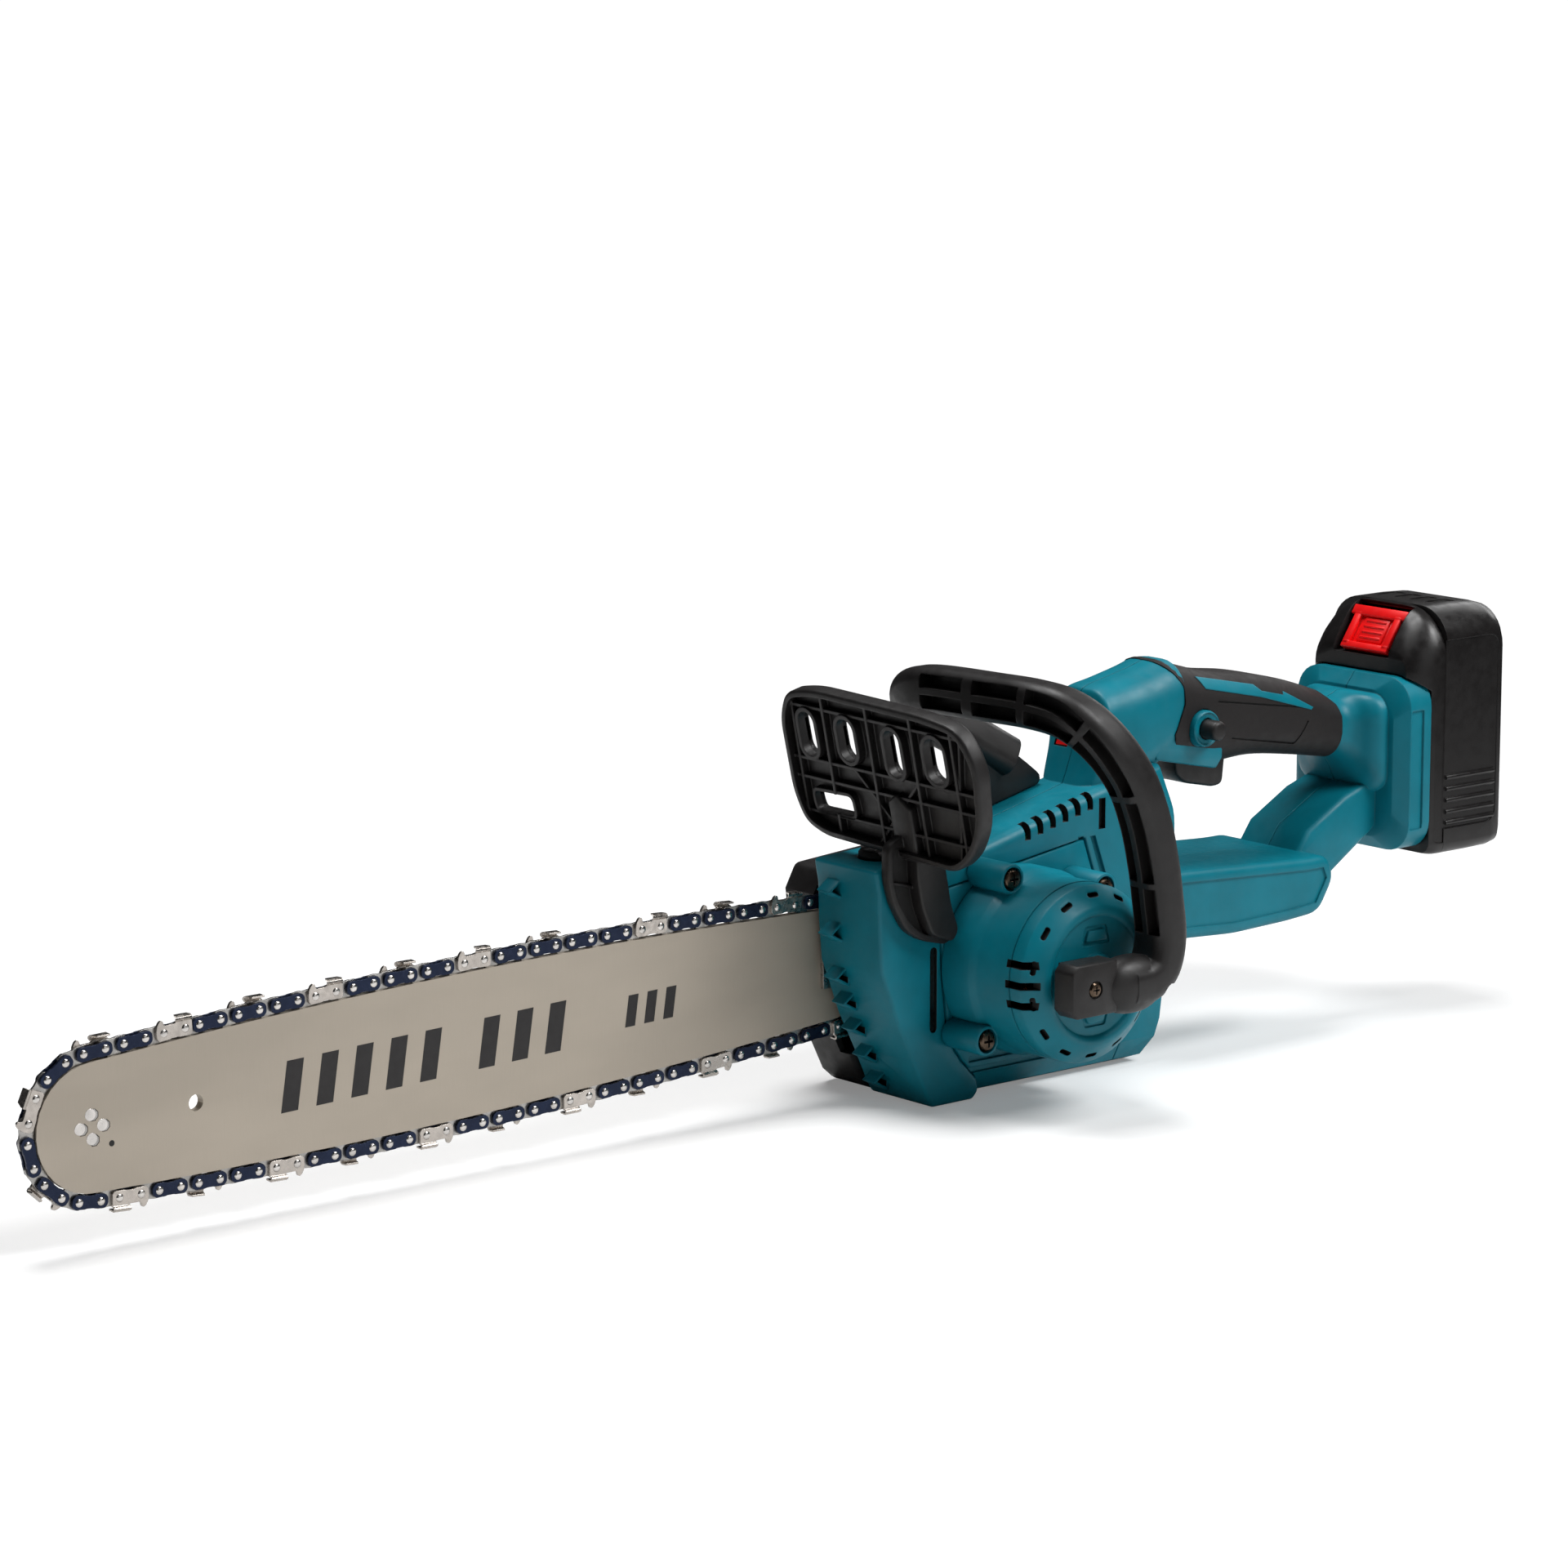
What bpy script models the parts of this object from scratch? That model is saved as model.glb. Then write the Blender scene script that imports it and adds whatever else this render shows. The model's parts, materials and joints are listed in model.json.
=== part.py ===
"""Battery chainsaw with a 16 inch bar, modelled as separate pieces.

Design frame, in millimetres: the origin is the centre of the bar's nose sprocket, +X runs back
towards the battery, +Z is up, and the bar's mid plane is Y = 0. The body lies on the -Y side
(the user's left) and the sprocket cover on the +Y side. An empty, saw_frame, carries everything
to the part's own frame, whose origin is the centre of the bottom of the saw's bounding box.
"""

import math

import bmesh
import bpy
from mathutils import Vector

MM = 0.001

# Driving dimensions ------------------------------------------------------------------------------
BAR_TILT = math.radians(1.58)  # the bar points slightly down towards its nose
BAR_THICK = 4.0
NOSE_RIVET_R = 30.74          # radius of the chain's rivets round the nose
RIVET_TO_RAIL = 3.9
BAR_TRAVEL = 5.0              # the bar slides back this far to slacken the chain
CHAIN_HALF_WIDTH = 3.2
CHAIN_IN, CHAIN_OUT = 3.5, 5.5  # chain body below and above its rivet line
DRIVE_U = 455.0               # drive sprocket's centre, along the bar
DRIVE_RIVET_R = 18.2
DRIVE_TEETH, NOSE_TEETH = 6, 10
AXLE_X, AXLE_Z = 454.8, 12.5  # the drive line: spindle, gears, motor and pod share it
SIDE_L, SIDE_R = -46.0, -4.3  # the body's left and right walls
PARTING = -22.0               # clamshell parting plane, and middle of handle and battery
WALL = 3.0
FLOOR = -50.0
BATTERY_W, BATTERY_H = 75.0, 118.0
HANDLE_Y = -118.0             # plane of the front handle's near leg
FRAME_X, FRAME_Y = 363.88, -47.45  # centre of the bounding box, in the design frame

SUN, PLANET, RING = 9, 12, 33   # planetary gear teeth
GEAR_MODULE = 48 / RING       # the ring gear's pitch diameter is 48


# Materials ---------------------------------------------------------------------------------------
def material(name, colour, roughness, metallic=0.0):
    mat = bpy.data.materials.new(name)
    mat.use_nodes = True
    shader = mat.node_tree.nodes["Principled BSDF"]
    shader.inputs["Base Color"].default_value = (*colour, 1)
    shader.inputs["Roughness"].default_value = roughness
    shader.inputs["Metallic"].default_value = metallic
    return mat


for old in list(bpy.data.objects):
    bpy.data.objects.remove(old, do_unlink=True)

TEAL = material("teal_plastic", (0.007, 0.22, 0.30), 0.45)
BLACK = material("black_plastic", (0.020, 0.018, 0.018), 0.5)
RUBBER = material("grip_rubber", (0.018, 0.016, 0.016), 0.7)
STEEL = material("steel", (0.45, 0.45, 0.44), 0.3, 1.0)
BAR_STEEL = material("bar_steel", (0.34, 0.32, 0.28), 0.45, 0.6)
ALUMINIUM = material("cast_aluminium", (0.55, 0.55, 0.55), 0.45, 1.0)
COPPER = material("copper", (0.5, 0.2, 0.08), 0.4, 1.0)
RED = material("red_plastic", (0.75, 0.03, 0.02), 0.4)
CLEAR = material("tank_plastic", (0.5, 0.5, 0.45), 0.4)
GREEN = material("circuit_board", (0.02, 0.12, 0.05), 0.5)
CELLS = material("cell_sleeve", (0.03, 0.10, 0.30), 0.4)

frame = bpy.data.objects.new("saw_frame", None)
frame.location = Vector((-FRAME_X, -FRAME_Y, -FLOOR)) * MM
bpy.context.collection.objects.link(frame)


# Mesh tools --------------------------------------------------------------------------------------
def make(name, points, faces, mat=None, origin=(0, 0, 0), smooth=True):
    """One closed mesh object from points in design millimetres; origin is its own pivot."""
    mesh = bpy.data.meshes.new(name)
    pivot = Vector(origin)
    mesh.from_pydata([(Vector(p) - pivot) * MM for p in points], [], faces)
    work = bmesh.new()
    work.from_mesh(mesh)
    bmesh.ops.recalc_face_normals(work, faces=work.faces)
    work.to_mesh(mesh)
    work.free()
    if smooth:
        mesh.shade_smooth()
        mesh.set_sharp_from_angle(angle=math.radians(35))
    obj = bpy.data.objects.new(name, mesh)
    obj.location = pivot * MM
    obj.parent = frame
    bpy.context.collection.objects.link(obj)
    if mat:
        mesh.materials.append(mat)
    else:                     # a cutter, left out of the part
        obj.hide_render = True
        obj.display_type = "WIRE"
    return obj


def loft(rings, closed=False):
    """Points and faces through rings of equal count; closed joins the last ring to the first."""
    count = len(rings[0])
    points = [p for ring in rings for p in ring]
    spans = len(rings) if closed else len(rings) - 1
    faces = []
    for i in range(spans):
        a, b = i * count, (i + 1) % len(rings) * count
        faces += [(a + j, a + (j + 1) % count, b + (j + 1) % count, b + j) for j in range(count)]
    if not closed:
        faces += [tuple(range(count)), tuple(range(len(points) - count, len(points)))]
    return points, faces


def prism(name, outline, y0, y1, mat=None, **kw):
    """An XZ outline extruded along Y."""
    return make(name, *loft([[(x, y, z) for x, z in outline] for y in (y0, y1)]), mat, **kw)


def ring_prism(name, outer, inner, y0, y1, mat=None, **kw):
    """An XZ outline with a hole, extruded along Y; both outlines have the same count."""
    rings = [(outer, y0), (outer, y1), (inner, y1), (inner, y0)]
    return make(name, *loft([[(x, y, z) for x, z in o] for o, y in rings], True), mat, **kw)


def box(name, low, high, mat=None, **kw):
    corners = [(low[0], low[2]), (high[0], low[2]), (high[0], high[2]), (low[0], high[2])]
    return prism(name, corners, low[1], high[1], mat, smooth=False, **kw)


def turned(name, profile, mat=None, centre=(AXLE_X, 0, AXLE_Z), axis="Y", steps=18, **kw):
    """A closed profile of (radius, distance along the axis) turned about an axis.

    A profile that starts and ends at radius 0 is solid; any other one is a ring.
    """
    solid = profile[0][0] == 0
    body = profile[1:-1] if solid else profile
    rings = []
    for radius, along in body:
        ring = []
        for k in range(steps):
            a = 2 * math.pi * (k + 0.5) / steps
            c, s = radius * math.cos(a), radius * math.sin(a)
            offset = {"Y": (c, along, s), "Z": (c, s, along), "X": (along, c, s)}[axis]
            ring.append(tuple(Vector(centre) + Vector(offset)))
        rings.append(ring)
    points, faces = loft(rings, not solid)
    return make(name, points, faces, mat, **kw)


def rod(name, radius, y0, y1, x, z, mat=None, steps=12, **kw):
    return turned(name, [(0, y0), (radius, y0), (radius, y1), (0, y1)], mat, (x, 0, z), "Y", steps, **kw)


def bevel(obj, width, segments=2, angle=30):
    mod = obj.modifiers.new("bevel", "BEVEL")
    mod.width, mod.segments = width * MM, segments
    mod.limit_method, mod.angle_limit = "ANGLE", math.radians(angle)
    mod.harden_normals = False
    return obj


def boolean(obj, other, operation):
    mod = obj.modifiers.new(operation.lower(), "BOOLEAN")
    mod.operation, mod.object, mod.solver = operation, other, "EXACT"
    return obj


def cut(obj, *others):
    for other in others:
        boolean(obj, other, "DIFFERENCE")
    return obj


def fuse(obj, *others):
    for other in others:
        boolean(obj, other, "UNION")
    return obj


def arc(cx, cz, radius, start, end, steps):
    """Points on an arc in XZ, from start to end degrees."""
    angles = [math.radians(start + (end - start) * k / steps) for k in range(steps + 1)]
    return [(cx + radius * math.cos(a), cz + radius * math.sin(a)) for a in angles]


def rounded(outline, radius, steps=3):
    """The outline with each corner cut back and rounded."""
    result = []
    for k, here in enumerate(outline):
        here = Vector(here)
        before = Vector(outline[k - 1]) - here
        after = Vector(outline[(k + 1) % len(outline)]) - here
        reach = min(radius, before.length * 0.45, after.length * 0.45)
        start, end = here + before.normalized() * reach, here + after.normalized() * reach
        for s in range(steps + 1):
            t = s / steps
            result.append(tuple(start * (1 - t) ** 2 + here * 2 * t * (1 - t) + end * t ** 2))
    return result


def inset(outline, distance):
    """A convex outline, moved inwards; the outline runs counter-clockwise."""
    result = []
    for k, here in enumerate(outline):
        here = Vector(here)
        before = (here - Vector(outline[k - 1])).normalized()
        after = (Vector(outline[(k + 1) % len(outline)]) - here).normalized()
        n1, n2 = Vector((-before.y, before.x)), Vector((-after.y, after.x))
        bisector = (n1 + n2).normalized()
        result.append(tuple(here + bisector * distance / max(0.3, bisector.dot(n1))))
    return result


def stadium(cx, cz, half_x, half_z, steps=6):
    """A slot outline with round ends, long in X or in Z."""
    if half_x > half_z:
        reach = half_x - half_z
        return (arc(cx + reach, cz, half_z, -90, 90, steps)
                + arc(cx - reach, cz, half_z, 90, 270, steps))
    reach = half_z - half_x
    return (arc(cx, cz + reach, half_x, 0, 180, steps)
            + arc(cx, cz - reach, half_x, 180, 360, steps))


def toothed(radius_of_phase, teeth, cx, cz, start=0.0):
    """An outline whose radius follows the phase (0 to 1) of each tooth."""
    result = []
    for k in range(teeth):
        for phase, radius in radius_of_phase:
            a = start + 2 * math.pi * (k + phase) / teeth
            result.append((cx + radius * math.cos(a), cz + radius * math.sin(a)))
    return result


def circle_like(outline, cx, cz, radius):
    """A circle with one point at the angle of each point of the outline."""
    result = []
    for x, z in outline:
        a = math.atan2(z - cz, x - cx)
        result.append((cx + radius * math.cos(a), cz + radius * math.sin(a)))
    return result


def bar_point(u, v):
    """A point given along (u) and across (v) the bar, in the design frame's X and Z."""
    c, s = math.cos(BAR_TILT), math.sin(BAR_TILT)
    return (u * c - v * s, u * s + v * c)


def rounded_box(half_w, half_h, radius, steps=2):
    """A rounded rectangle about the origin, as (across, up) pairs, counter-clockwise."""
    result = []
    for sx, sz, start in ((1, 1, 0), (-1, 1, 90), (-1, -1, 180), (1, -1, 270)):
        result += arc(sx * (half_w - radius), sz * (half_h - radius), radius, start, start + 90, steps)
    return result


def sweep(name, path, half_w, half_h, radius, first_up, mat=None, **kw):
    """A rounded rectangle carried along a path without twisting."""
    path = [Vector(p) for p in path]
    tangents = [(path[min(i + 1, len(path) - 1)] - path[max(i - 1, 0)]).normalized()
                for i in range(len(path))]
    up = Vector(first_up)
    rings = []
    for i, tangent in enumerate(tangents):
        if i:
            up = tangents[i - 1].rotation_difference(tangent) @ up
        up = (up - tangent * up.dot(tangent)).normalized()
        across = tangent.cross(up)
        rings.append([tuple(path[i] + across * a + up * b)
                      for a, b in rounded_box(half_w, half_h, radius)])
    return make(name, *loft(rings), mat, **kw)


# Bar and chain -----------------------------------------------------------------------------------
def rivet_half_height(u):
    """Half the distance between the chain's upper and lower rivet lines, along the bar."""
    t = u / 200
    return NOSE_RIVET_R + 9.0 * t - 3.77 * t ** 2 - 1.30 * t ** 3 + 0.337 * t ** 4


STUD_U = (392.0, 416.0)
PIN_U, PIN_V = 404.0, 15.0    # the tension pin's hole in the bar


def guide_bar():
    """The bar, low enough behind its widest place to stay inside the chain as it slides back."""
    top = [(u, min(rivet_half_height(u), rivet_half_height(u + BAR_TRAVEL)) - RIVET_TO_RAIL)
           for u in range(390, 0, -30)]
    nose = arc(0, 0, NOSE_RIVET_R - RIVET_TO_RAIL, 90, 270, 16)
    tail = [(402, 22.5), (412, 20), (430, 14), (434, 10)]
    upper = tail[::-1] + top
    outline = upper + nose + [(u, -v) for u, v in upper[::-1]]
    bar = prism("guide_bar", [bar_point(*p) for p in outline], -BAR_THICK / 2, BAR_THICK / 2, BAR_STEEL)
    slot = stadium((STUD_U[0] + STUD_U[1]) / 2, 0, 22.5, 4.3)
    cut(bar, prism("stud_slot", [bar_point(*p) for p in slot], -5, 5))
    cut(bar, rod("pin_hole", 2.6, -5, 5, *bar_point(PIN_U, PIN_V), steps=12))
    cut(bar, rod("nose_hole", 3.5, -5, 5, *bar_point(48.9, 1.0), steps=16))
    cut(bar, rod("nose_pocket", 32, -0.9, 0.9, 0, 0, steps=20))
    for k in range(4):
        angle = math.pi / 2 * k + BAR_TILT
        cut(bar, rod(f"rivet_hole_{k}", 2.7, -5, 5, 5.2 * math.cos(angle), 5.2 * math.sin(angle), steps=8))
    return bar


def nose_race():
    race = turned("nose_race", [(0, -0.6), (9.5, -0.6), (9.5, 0.6), (0, 0.6)], STEEL, (0, 0, 0))
    for k in range(4):
        angle = math.pi / 2 * k + BAR_TILT
        pin = rod(f"race_pin_{k}", 2.4, -1.95, 1.95, 5.2 * math.cos(angle), 5.2 * math.sin(angle), steps=8)
        fuse(race, pin)
    return race


def nose_sprocket():
    teeth = toothed([(0, 25.5), (0.22, 25.5), (0.36, 21.5), (0.86, 21.5)], NOSE_TEETH, 0, 0)
    return ring_prism("nose_sprocket", teeth, circle_like(teeth, 0, 0, 9.9), -0.6, 0.6, STEEL)


def chain_loop(offset):
    """The chain's path moved outwards by offset from its rivet line, as a closed outline."""
    top = [(u, rivet_half_height(u) + offset) for u in range(0, 401, 40)]
    drive = arc(DRIVE_U, 0, DRIVE_RIVET_R + offset, 79.5, -79.5, 14)
    nose = arc(0, 0, NOSE_RIVET_R + offset, 270, 90, 16)[1:-1]
    outline = top + drive + [(u, -v) for u, v in top[::-1]] + nose
    return [bar_point(*p) for p in outline]


def saw_chain():
    return ring_prism("saw_chain", chain_loop(CHAIN_OUT), chain_loop(-CHAIN_IN),
                      -CHAIN_HALF_WIDTH, CHAIN_HALF_WIDTH, STEEL)


def bar_plate():
    outline = [bar_point(u, v) for u, v in ((381, -10), (431, -10), (431, 10), (381, 10))]
    plate = prism("bar_plate", outline, -3.9, -2.35, STEEL, smooth=False)
    for k, u in enumerate(STUD_U):
        fuse(plate, rod(f"stud_{k}", 3.9, -3.5, 31, *bar_point(u, 0)))
    return plate


def tensioner():
    block = prism("tension_block", [bar_point(u, v) for u, v in
                  ((399, 11.6), (409, 11.6), (409, 18.8), (399, 18.8))], 3.6, 10.4, STEEL, smooth=False)
    fuse(block, rod("tension_pin", 2.2, -1.5, 5, *bar_point(PIN_U, PIN_V), steps=12))
    start, end = Vector((*bar_point(385, PIN_V), 7)).xzy, Vector((*bar_point(421.5, PIN_V), 7)).xzy
    turn = Vector((1, 0, 0)).rotation_difference(end - start)
    for name, radius, mat in (("screw_bore", 2.4, None), ("tension_screw", 2.0, STEEL)):
        head = [(radius + 1.6, 0), (radius + 1.6, 4)] if mat else []
        length = (end - start).length
        profile = [(0, 0)] + (head or [(radius, 0)]) + ([(radius, 4)] if head else [])
        profile += [(radius, length), (0, length)]
        screw = turned(name, profile, mat, (0, 0, 0), "X", 12)
        screw.location, screw.rotation_mode = start * MM, "QUATERNION"
        screw.rotation_quaternion = turn
        if not mat:
            cut(block, screw)
    return block


def cover_nuts():
    for name, u in zip(("cover_nut_front", "cover_nut_rear"), STUD_U):
        x, z = bar_point(u, 0)
        outer = [(x + 7.5 * math.cos(a * math.pi / 3), z + 7.5 * math.sin(a * math.pi / 3)) for a in range(6)]
        outer = [p for k, p in enumerate(outer) for p in
                 (p, tuple((Vector(p) + Vector(outer[(k + 1) % 6])) / 2))]
        ring_prism(name, outer, circle_like(outer, x, z, 4.25), 26.4, 32.5, STEEL,
                   origin=(x, 29, z), smooth=False)


COVER_OUTLINE = [(382, 42), (388, 53), (500, 61), (520, 52), (530, 20), (528, -24), (514, -46),
                 (505, FLOOR), (411, FLOOR), (404, -44), (394, -24), (386, 8)][::-1]


def sprocket_cover():
    cover = prism("sprocket_cover", COVER_OUTLINE, -3.6, 26, BLACK)
    cavity = prism("cover_cavity", inset(COVER_OUTLINE, WALL), -5, 23)
    exit_low, exit_high = (370, -5, -32), (402, 4.2, 46)
    cut(cover, cavity, box("chain_exit", exit_low, exit_high))
    pad = box("clamp_pad", (383.5, 2.4, 1), (427, 24, 20.5))
    fuse(cover, pad)
    for k, u in enumerate(STUD_U):
        cut(cover, rod(f"cover_hole_{k}", 4.3, -2, 30, *bar_point(u, 0)))
    access = [(0, 376), (4.3, 376), (4.3, 394), (0, 394)]   # to the tension screw's head
    cut(cover, turned("screw_access", access, None, (0, 7, bar_point(387, PIN_V)[1]), "X", 12))
    return cover


def chain_catcher():
    return bevel(box("chain_catcher", (416, SIDE_R + 0.6, -45.5), (430, 3.2, -37), STEEL), 1.2, 1)


# Drive line: spindle, planetary gears, motor ------------------------------------------------------
def gear_outline(teeth, start=0.0, internal=False):
    """A gear with narrow straight-sided teeth, which leave backlash all round."""
    pitch_r, out, depth = teeth * GEAR_MODULE / 2, 0.8 * GEAR_MODULE, 1.15 * GEAR_MODULE
    tip, root = (pitch_r - out, pitch_r + depth) if internal else (pitch_r + out, pitch_r - depth)
    shape = [(-0.23, root), (-0.12, tip), (0.12, tip), (0.23, root)]
    return toothed(shape, teeth, AXLE_X, AXLE_Z, start)


def drive_line():
    bore = 5.2
    hub = [(bore, -4.0), (8.6, -4.0), (8.6, 3.6), (15.5, 3.6), (15.5, 5), (7.5, 5), (7.5, 7), (bore, 7)]
    axis = (AXLE_X, 0, AXLE_Z)
    sprocket = turned("drive_sprocket", hub, STEEL, origin=axis)
    star = toothed([(-0.2, 14.2), (0.2, 14.2), (0.36, 10.8), (0.64, 10.8)], DRIVE_TEETH, AXLE_X, AXLE_Z)
    fuse(sprocket, ring_prism("sprocket_teeth", star, circle_like(star, AXLE_X, AXLE_Z, 7), -2.8, 2.8))
    turned("spindle", [(0, -23), (4.9, -23), (4.9, 9), (0, 9)], STEEL, origin=axis)
    turned("spindle_bearing", [(5.2, -16.5), (10.8, -16.5), (10.8, -10.5), (5.2, -10.5)], STEEL)
    case = [(6, -9.2), (33, -9.2), (33, -44), (30.4, -44), (30.4, -12.2), (14, -12.2), (14, -17.5),
            (11.1, -17.5), (11.1, -10.2), (6, -10.2)]
    turned("gear_case", case, ALUMINIUM, steps=24)
    carrier = turned("planet_carrier", [(5.2, -22), (21.5, -22), (21.5, -18.5), (5.2, -18.5)], STEEL,
                     origin=axis)
    for k in range(3):
        a = 2 * math.pi * k / 3
        orbit = (SUN + PLANET) * GEAR_MODULE / 2
        x, z = AXLE_X + orbit * math.cos(a), AXLE_Z + orbit * math.sin(a)
        fuse(carrier, rod(f"planet_pin_{k}", 2.4, -31.6, -20, x, z, steps=12))
        teeth = [(px + x - AXLE_X, pz + z - AXLE_Z)
                 for px, pz in gear_outline(PLANET, a + math.pi - math.pi / PLANET)]
        planet = prism(f"planet_gear_{k + 1}", teeth, -31, -23, STEEL, origin=(x, 0, z), smooth=False)
        cut(planet, rod(f"planet_bore_{k}", 2.75, -35, -20, x, z))
    ring = rod("ring_gear", 30, -32, -22.6, AXLE_X, AXLE_Z, STEEL, steps=28)
    cut(ring, prism("ring_teeth", gear_outline(RING, internal=True), -40, -20))
    rotor = turned("motor_rotor", [(0, -99), (3, -99), (3, -88), (16.4, -88), (16.4, -64), (3, -64),
                                   (3, -31.5), (0, -31.5)], STEEL, origin=axis)
    fuse(rotor, prism("sun_teeth", gear_outline(SUN), -33, -24, smooth=False))
    plate = [(8.2, -44.5), (33, -44.5), (33, -47.5), (11, -47.5), (11, -51.5), (8.2, -51.5)]
    turned("motor_plate", plate, ALUMINIUM, steps=24)
    turned("motor_bearing_front", [(3.3, -51), (7.9, -51), (7.9, -45), (3.3, -45)], STEEL)
    turned("motor_bearing_rear", [(3.3, -98), (7.9, -98), (7.9, -93), (3.3, -93)], STEEL)
    slots = toothed([(-0.35, 17), (0.35, 17), (0.4, 25), (0.6, 25)], 9, AXLE_X, AXLE_Z)
    ring_prism("motor_stator", circle_like(slots, AXLE_X, AXLE_Z, 30), slots, -88, -64, COPPER)
    blades = toothed([(-0.06, 32), (0.06, 32), (0.16, 13), (0.84, 13)], 9, AXLE_X, AXLE_Z)
    ring_prism("cooling_fan", blades, circle_like(blades, AXLE_X, AXLE_Z, 3.3), -60.5, -54, BLACK,
               origin=axis)


# Front of the body: nose bumper and oil system ---------------------------------------------------
NOSE_FRONT = [(374.5, 61), (376.6, 50), (377, 33), (378.6, 15), (383, 4), (388.3, -10), (397, -27),
              (405.5, -45), (408.5, FLOOR)]
NOSE_REAR = [(433, FLOOR), (436.2, -46.5), (435.2, -41), (425.5, -31), (417.5, -20), (413.8, 12),
             (412, 41), (413, 63)]
SPIKE_Z = (49.5, 30, 10, -2, -14.5, -27.5, -40.5)
CAP_X, CAP_Y = 396.0, -25.0
WINDOW = (408.6, 3.4)         # centre of the oil level window, X and Z


def nose_front_x(z):
    """X of the nose's front face at a height."""
    for (x0, z0), (x1, z1) in zip(NOSE_FRONT, NOSE_FRONT[1:]):
        if z1 <= z <= z0:
            return x0 + (x1 - x0) * (z - z0) / (z1 - z0)
    return NOSE_FRONT[0][0]


def nose():
    outline = NOSE_FRONT + NOSE_REAR
    bumper = bevel(prism("front_bumper", outline, SIDE_L, SIDE_R, TEAL), 1.6, 2, 40)
    cavity = [(380, 58), (380.2, 33), (382, 16), (392, -9), (409, -44), (411.5, -47), (429, -47),
              (421, -31), (413.5, -20), (410, 12), (409, 41), (409, 58)]
    cut(bumper, prism("nose_cavity", cavity, SIDE_L + WALL, 0))
    for k, z in enumerate(SPIKE_Z):
        x = nose_front_x(z)
        fuse(bumper, prism(f"spike_{k}", [(x + 1.4, z + 5), (x + 1.4, z - 5.5), (x - 7, z - 1)], -15.5, -5.8))
    cut(bumper, turned("cap_hole", [(0, 50), (10.4, 50), (10.4, 70), (0, 70)], None, (CAP_X, CAP_Y, 0), "Z"))
    cut(bumper, prism("window_slot", stadium(*WINDOW, 2.0, 19.3), SIDE_L - 1, SIDE_L + 8))
    tank = [(383, 50), (383, 34), (385, 16), (395, -9), (411, -41), (420, -41), (411, -20), (403, 12),
            (403, 41), (403, 50)]
    shell = prism("oil_tank", tank, -41, -8, CLEAR)
    cut(shell, prism("oil_space", inset(tank, 2.2), -39, -10))
    neck = turned("tank_neck", [(0, 49), (10, 49), (10, 57), (0, 57)], None, (CAP_X, CAP_Y, 0), "Z")
    fuse(shell, neck)
    cut(shell, turned("neck_bore", [(0, 44), (8, 44), (8, 60), (0, 60)], None, (CAP_X, CAP_Y, 0), "Z"))
    cap = [(0, 50), (7.5, 50), (7.5, 62.2), (10, 62.2), (10, 64.6), (9, 65.6), (0, 65.6)]
    turned("oil_cap", cap, BLACK, (CAP_X, CAP_Y, 0), "Z", origin=(CAP_X, CAP_Y, 63))
    prism("oil_window", stadium(*WINDOW, 1.7, 19.0, 4), SIDE_L + 0.8, SIDE_L + 2.7, CLEAR)
    pump = turned("oil_pump", [(0, 442), (6.5, 442), (6.5, 462), (3, 462), (3, 470), (0, 470)], ALUMINIUM,
                  (0, -24, -33), "X", 16)
    return pump


# Casings -----------------------------------------------------------------------------------------
def lower_body_outline():
    front = [(x + 0.7, z) for x, z in NOSE_REAR[1:-1]]
    return ([(436.9, FLOOR)] + front + [(412.7, 47.3), (499, 59.4), (516, 12), (524, FLOOR)])[::-1]


SCREW_ANGLES = (117, 220, 297, 40)
BOSS_R = 46.0


def boss_place(angle):
    a = math.radians(angle)
    return AXLE_X + BOSS_R * math.cos(a), AXLE_Z + BOSS_R * math.sin(a)


def underside_chamfer(name):
    """Cuts the body's lower left edge, so that its underside curves up to its side."""
    section = [(SIDE_L - 2, FLOOR - 2), (-30, FLOOR - 2), (-32, FLOOR), (-40, -47), (SIDE_L, -37.5),
               (SIDE_L - 2, -35)]
    return make(name, *loft([[(x, y, z) for y, z in section] for x in (438, 570)]))


def gear_housing():
    housing = bevel(prism("gear_housing", lower_body_outline(), SIDE_L, SIDE_R, TEAL), 0.8, 1, 50)
    cavity = [(420, 44), (498, 55), (511, 12), (517, -34), (432, -34), (421.5, -20), (418, 12)]
    cut(housing, prism("lower_cavity", cavity[::-1], SIDE_L + WALL, SIDE_R - 4.2),
        box("pump_space", (440, -36, -45), (500, SIDE_R - 4.2, -30)),
        rod("motor_opening", 36.5, SIDE_L - 5, -30, AXLE_X, AXLE_Z, steps=32),
        rod("spindle_bore", 6, -12, 0, AXLE_X, AXLE_Z, steps=16),
        underside_chamfer("lower_chamfer"))
    return housing


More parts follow.
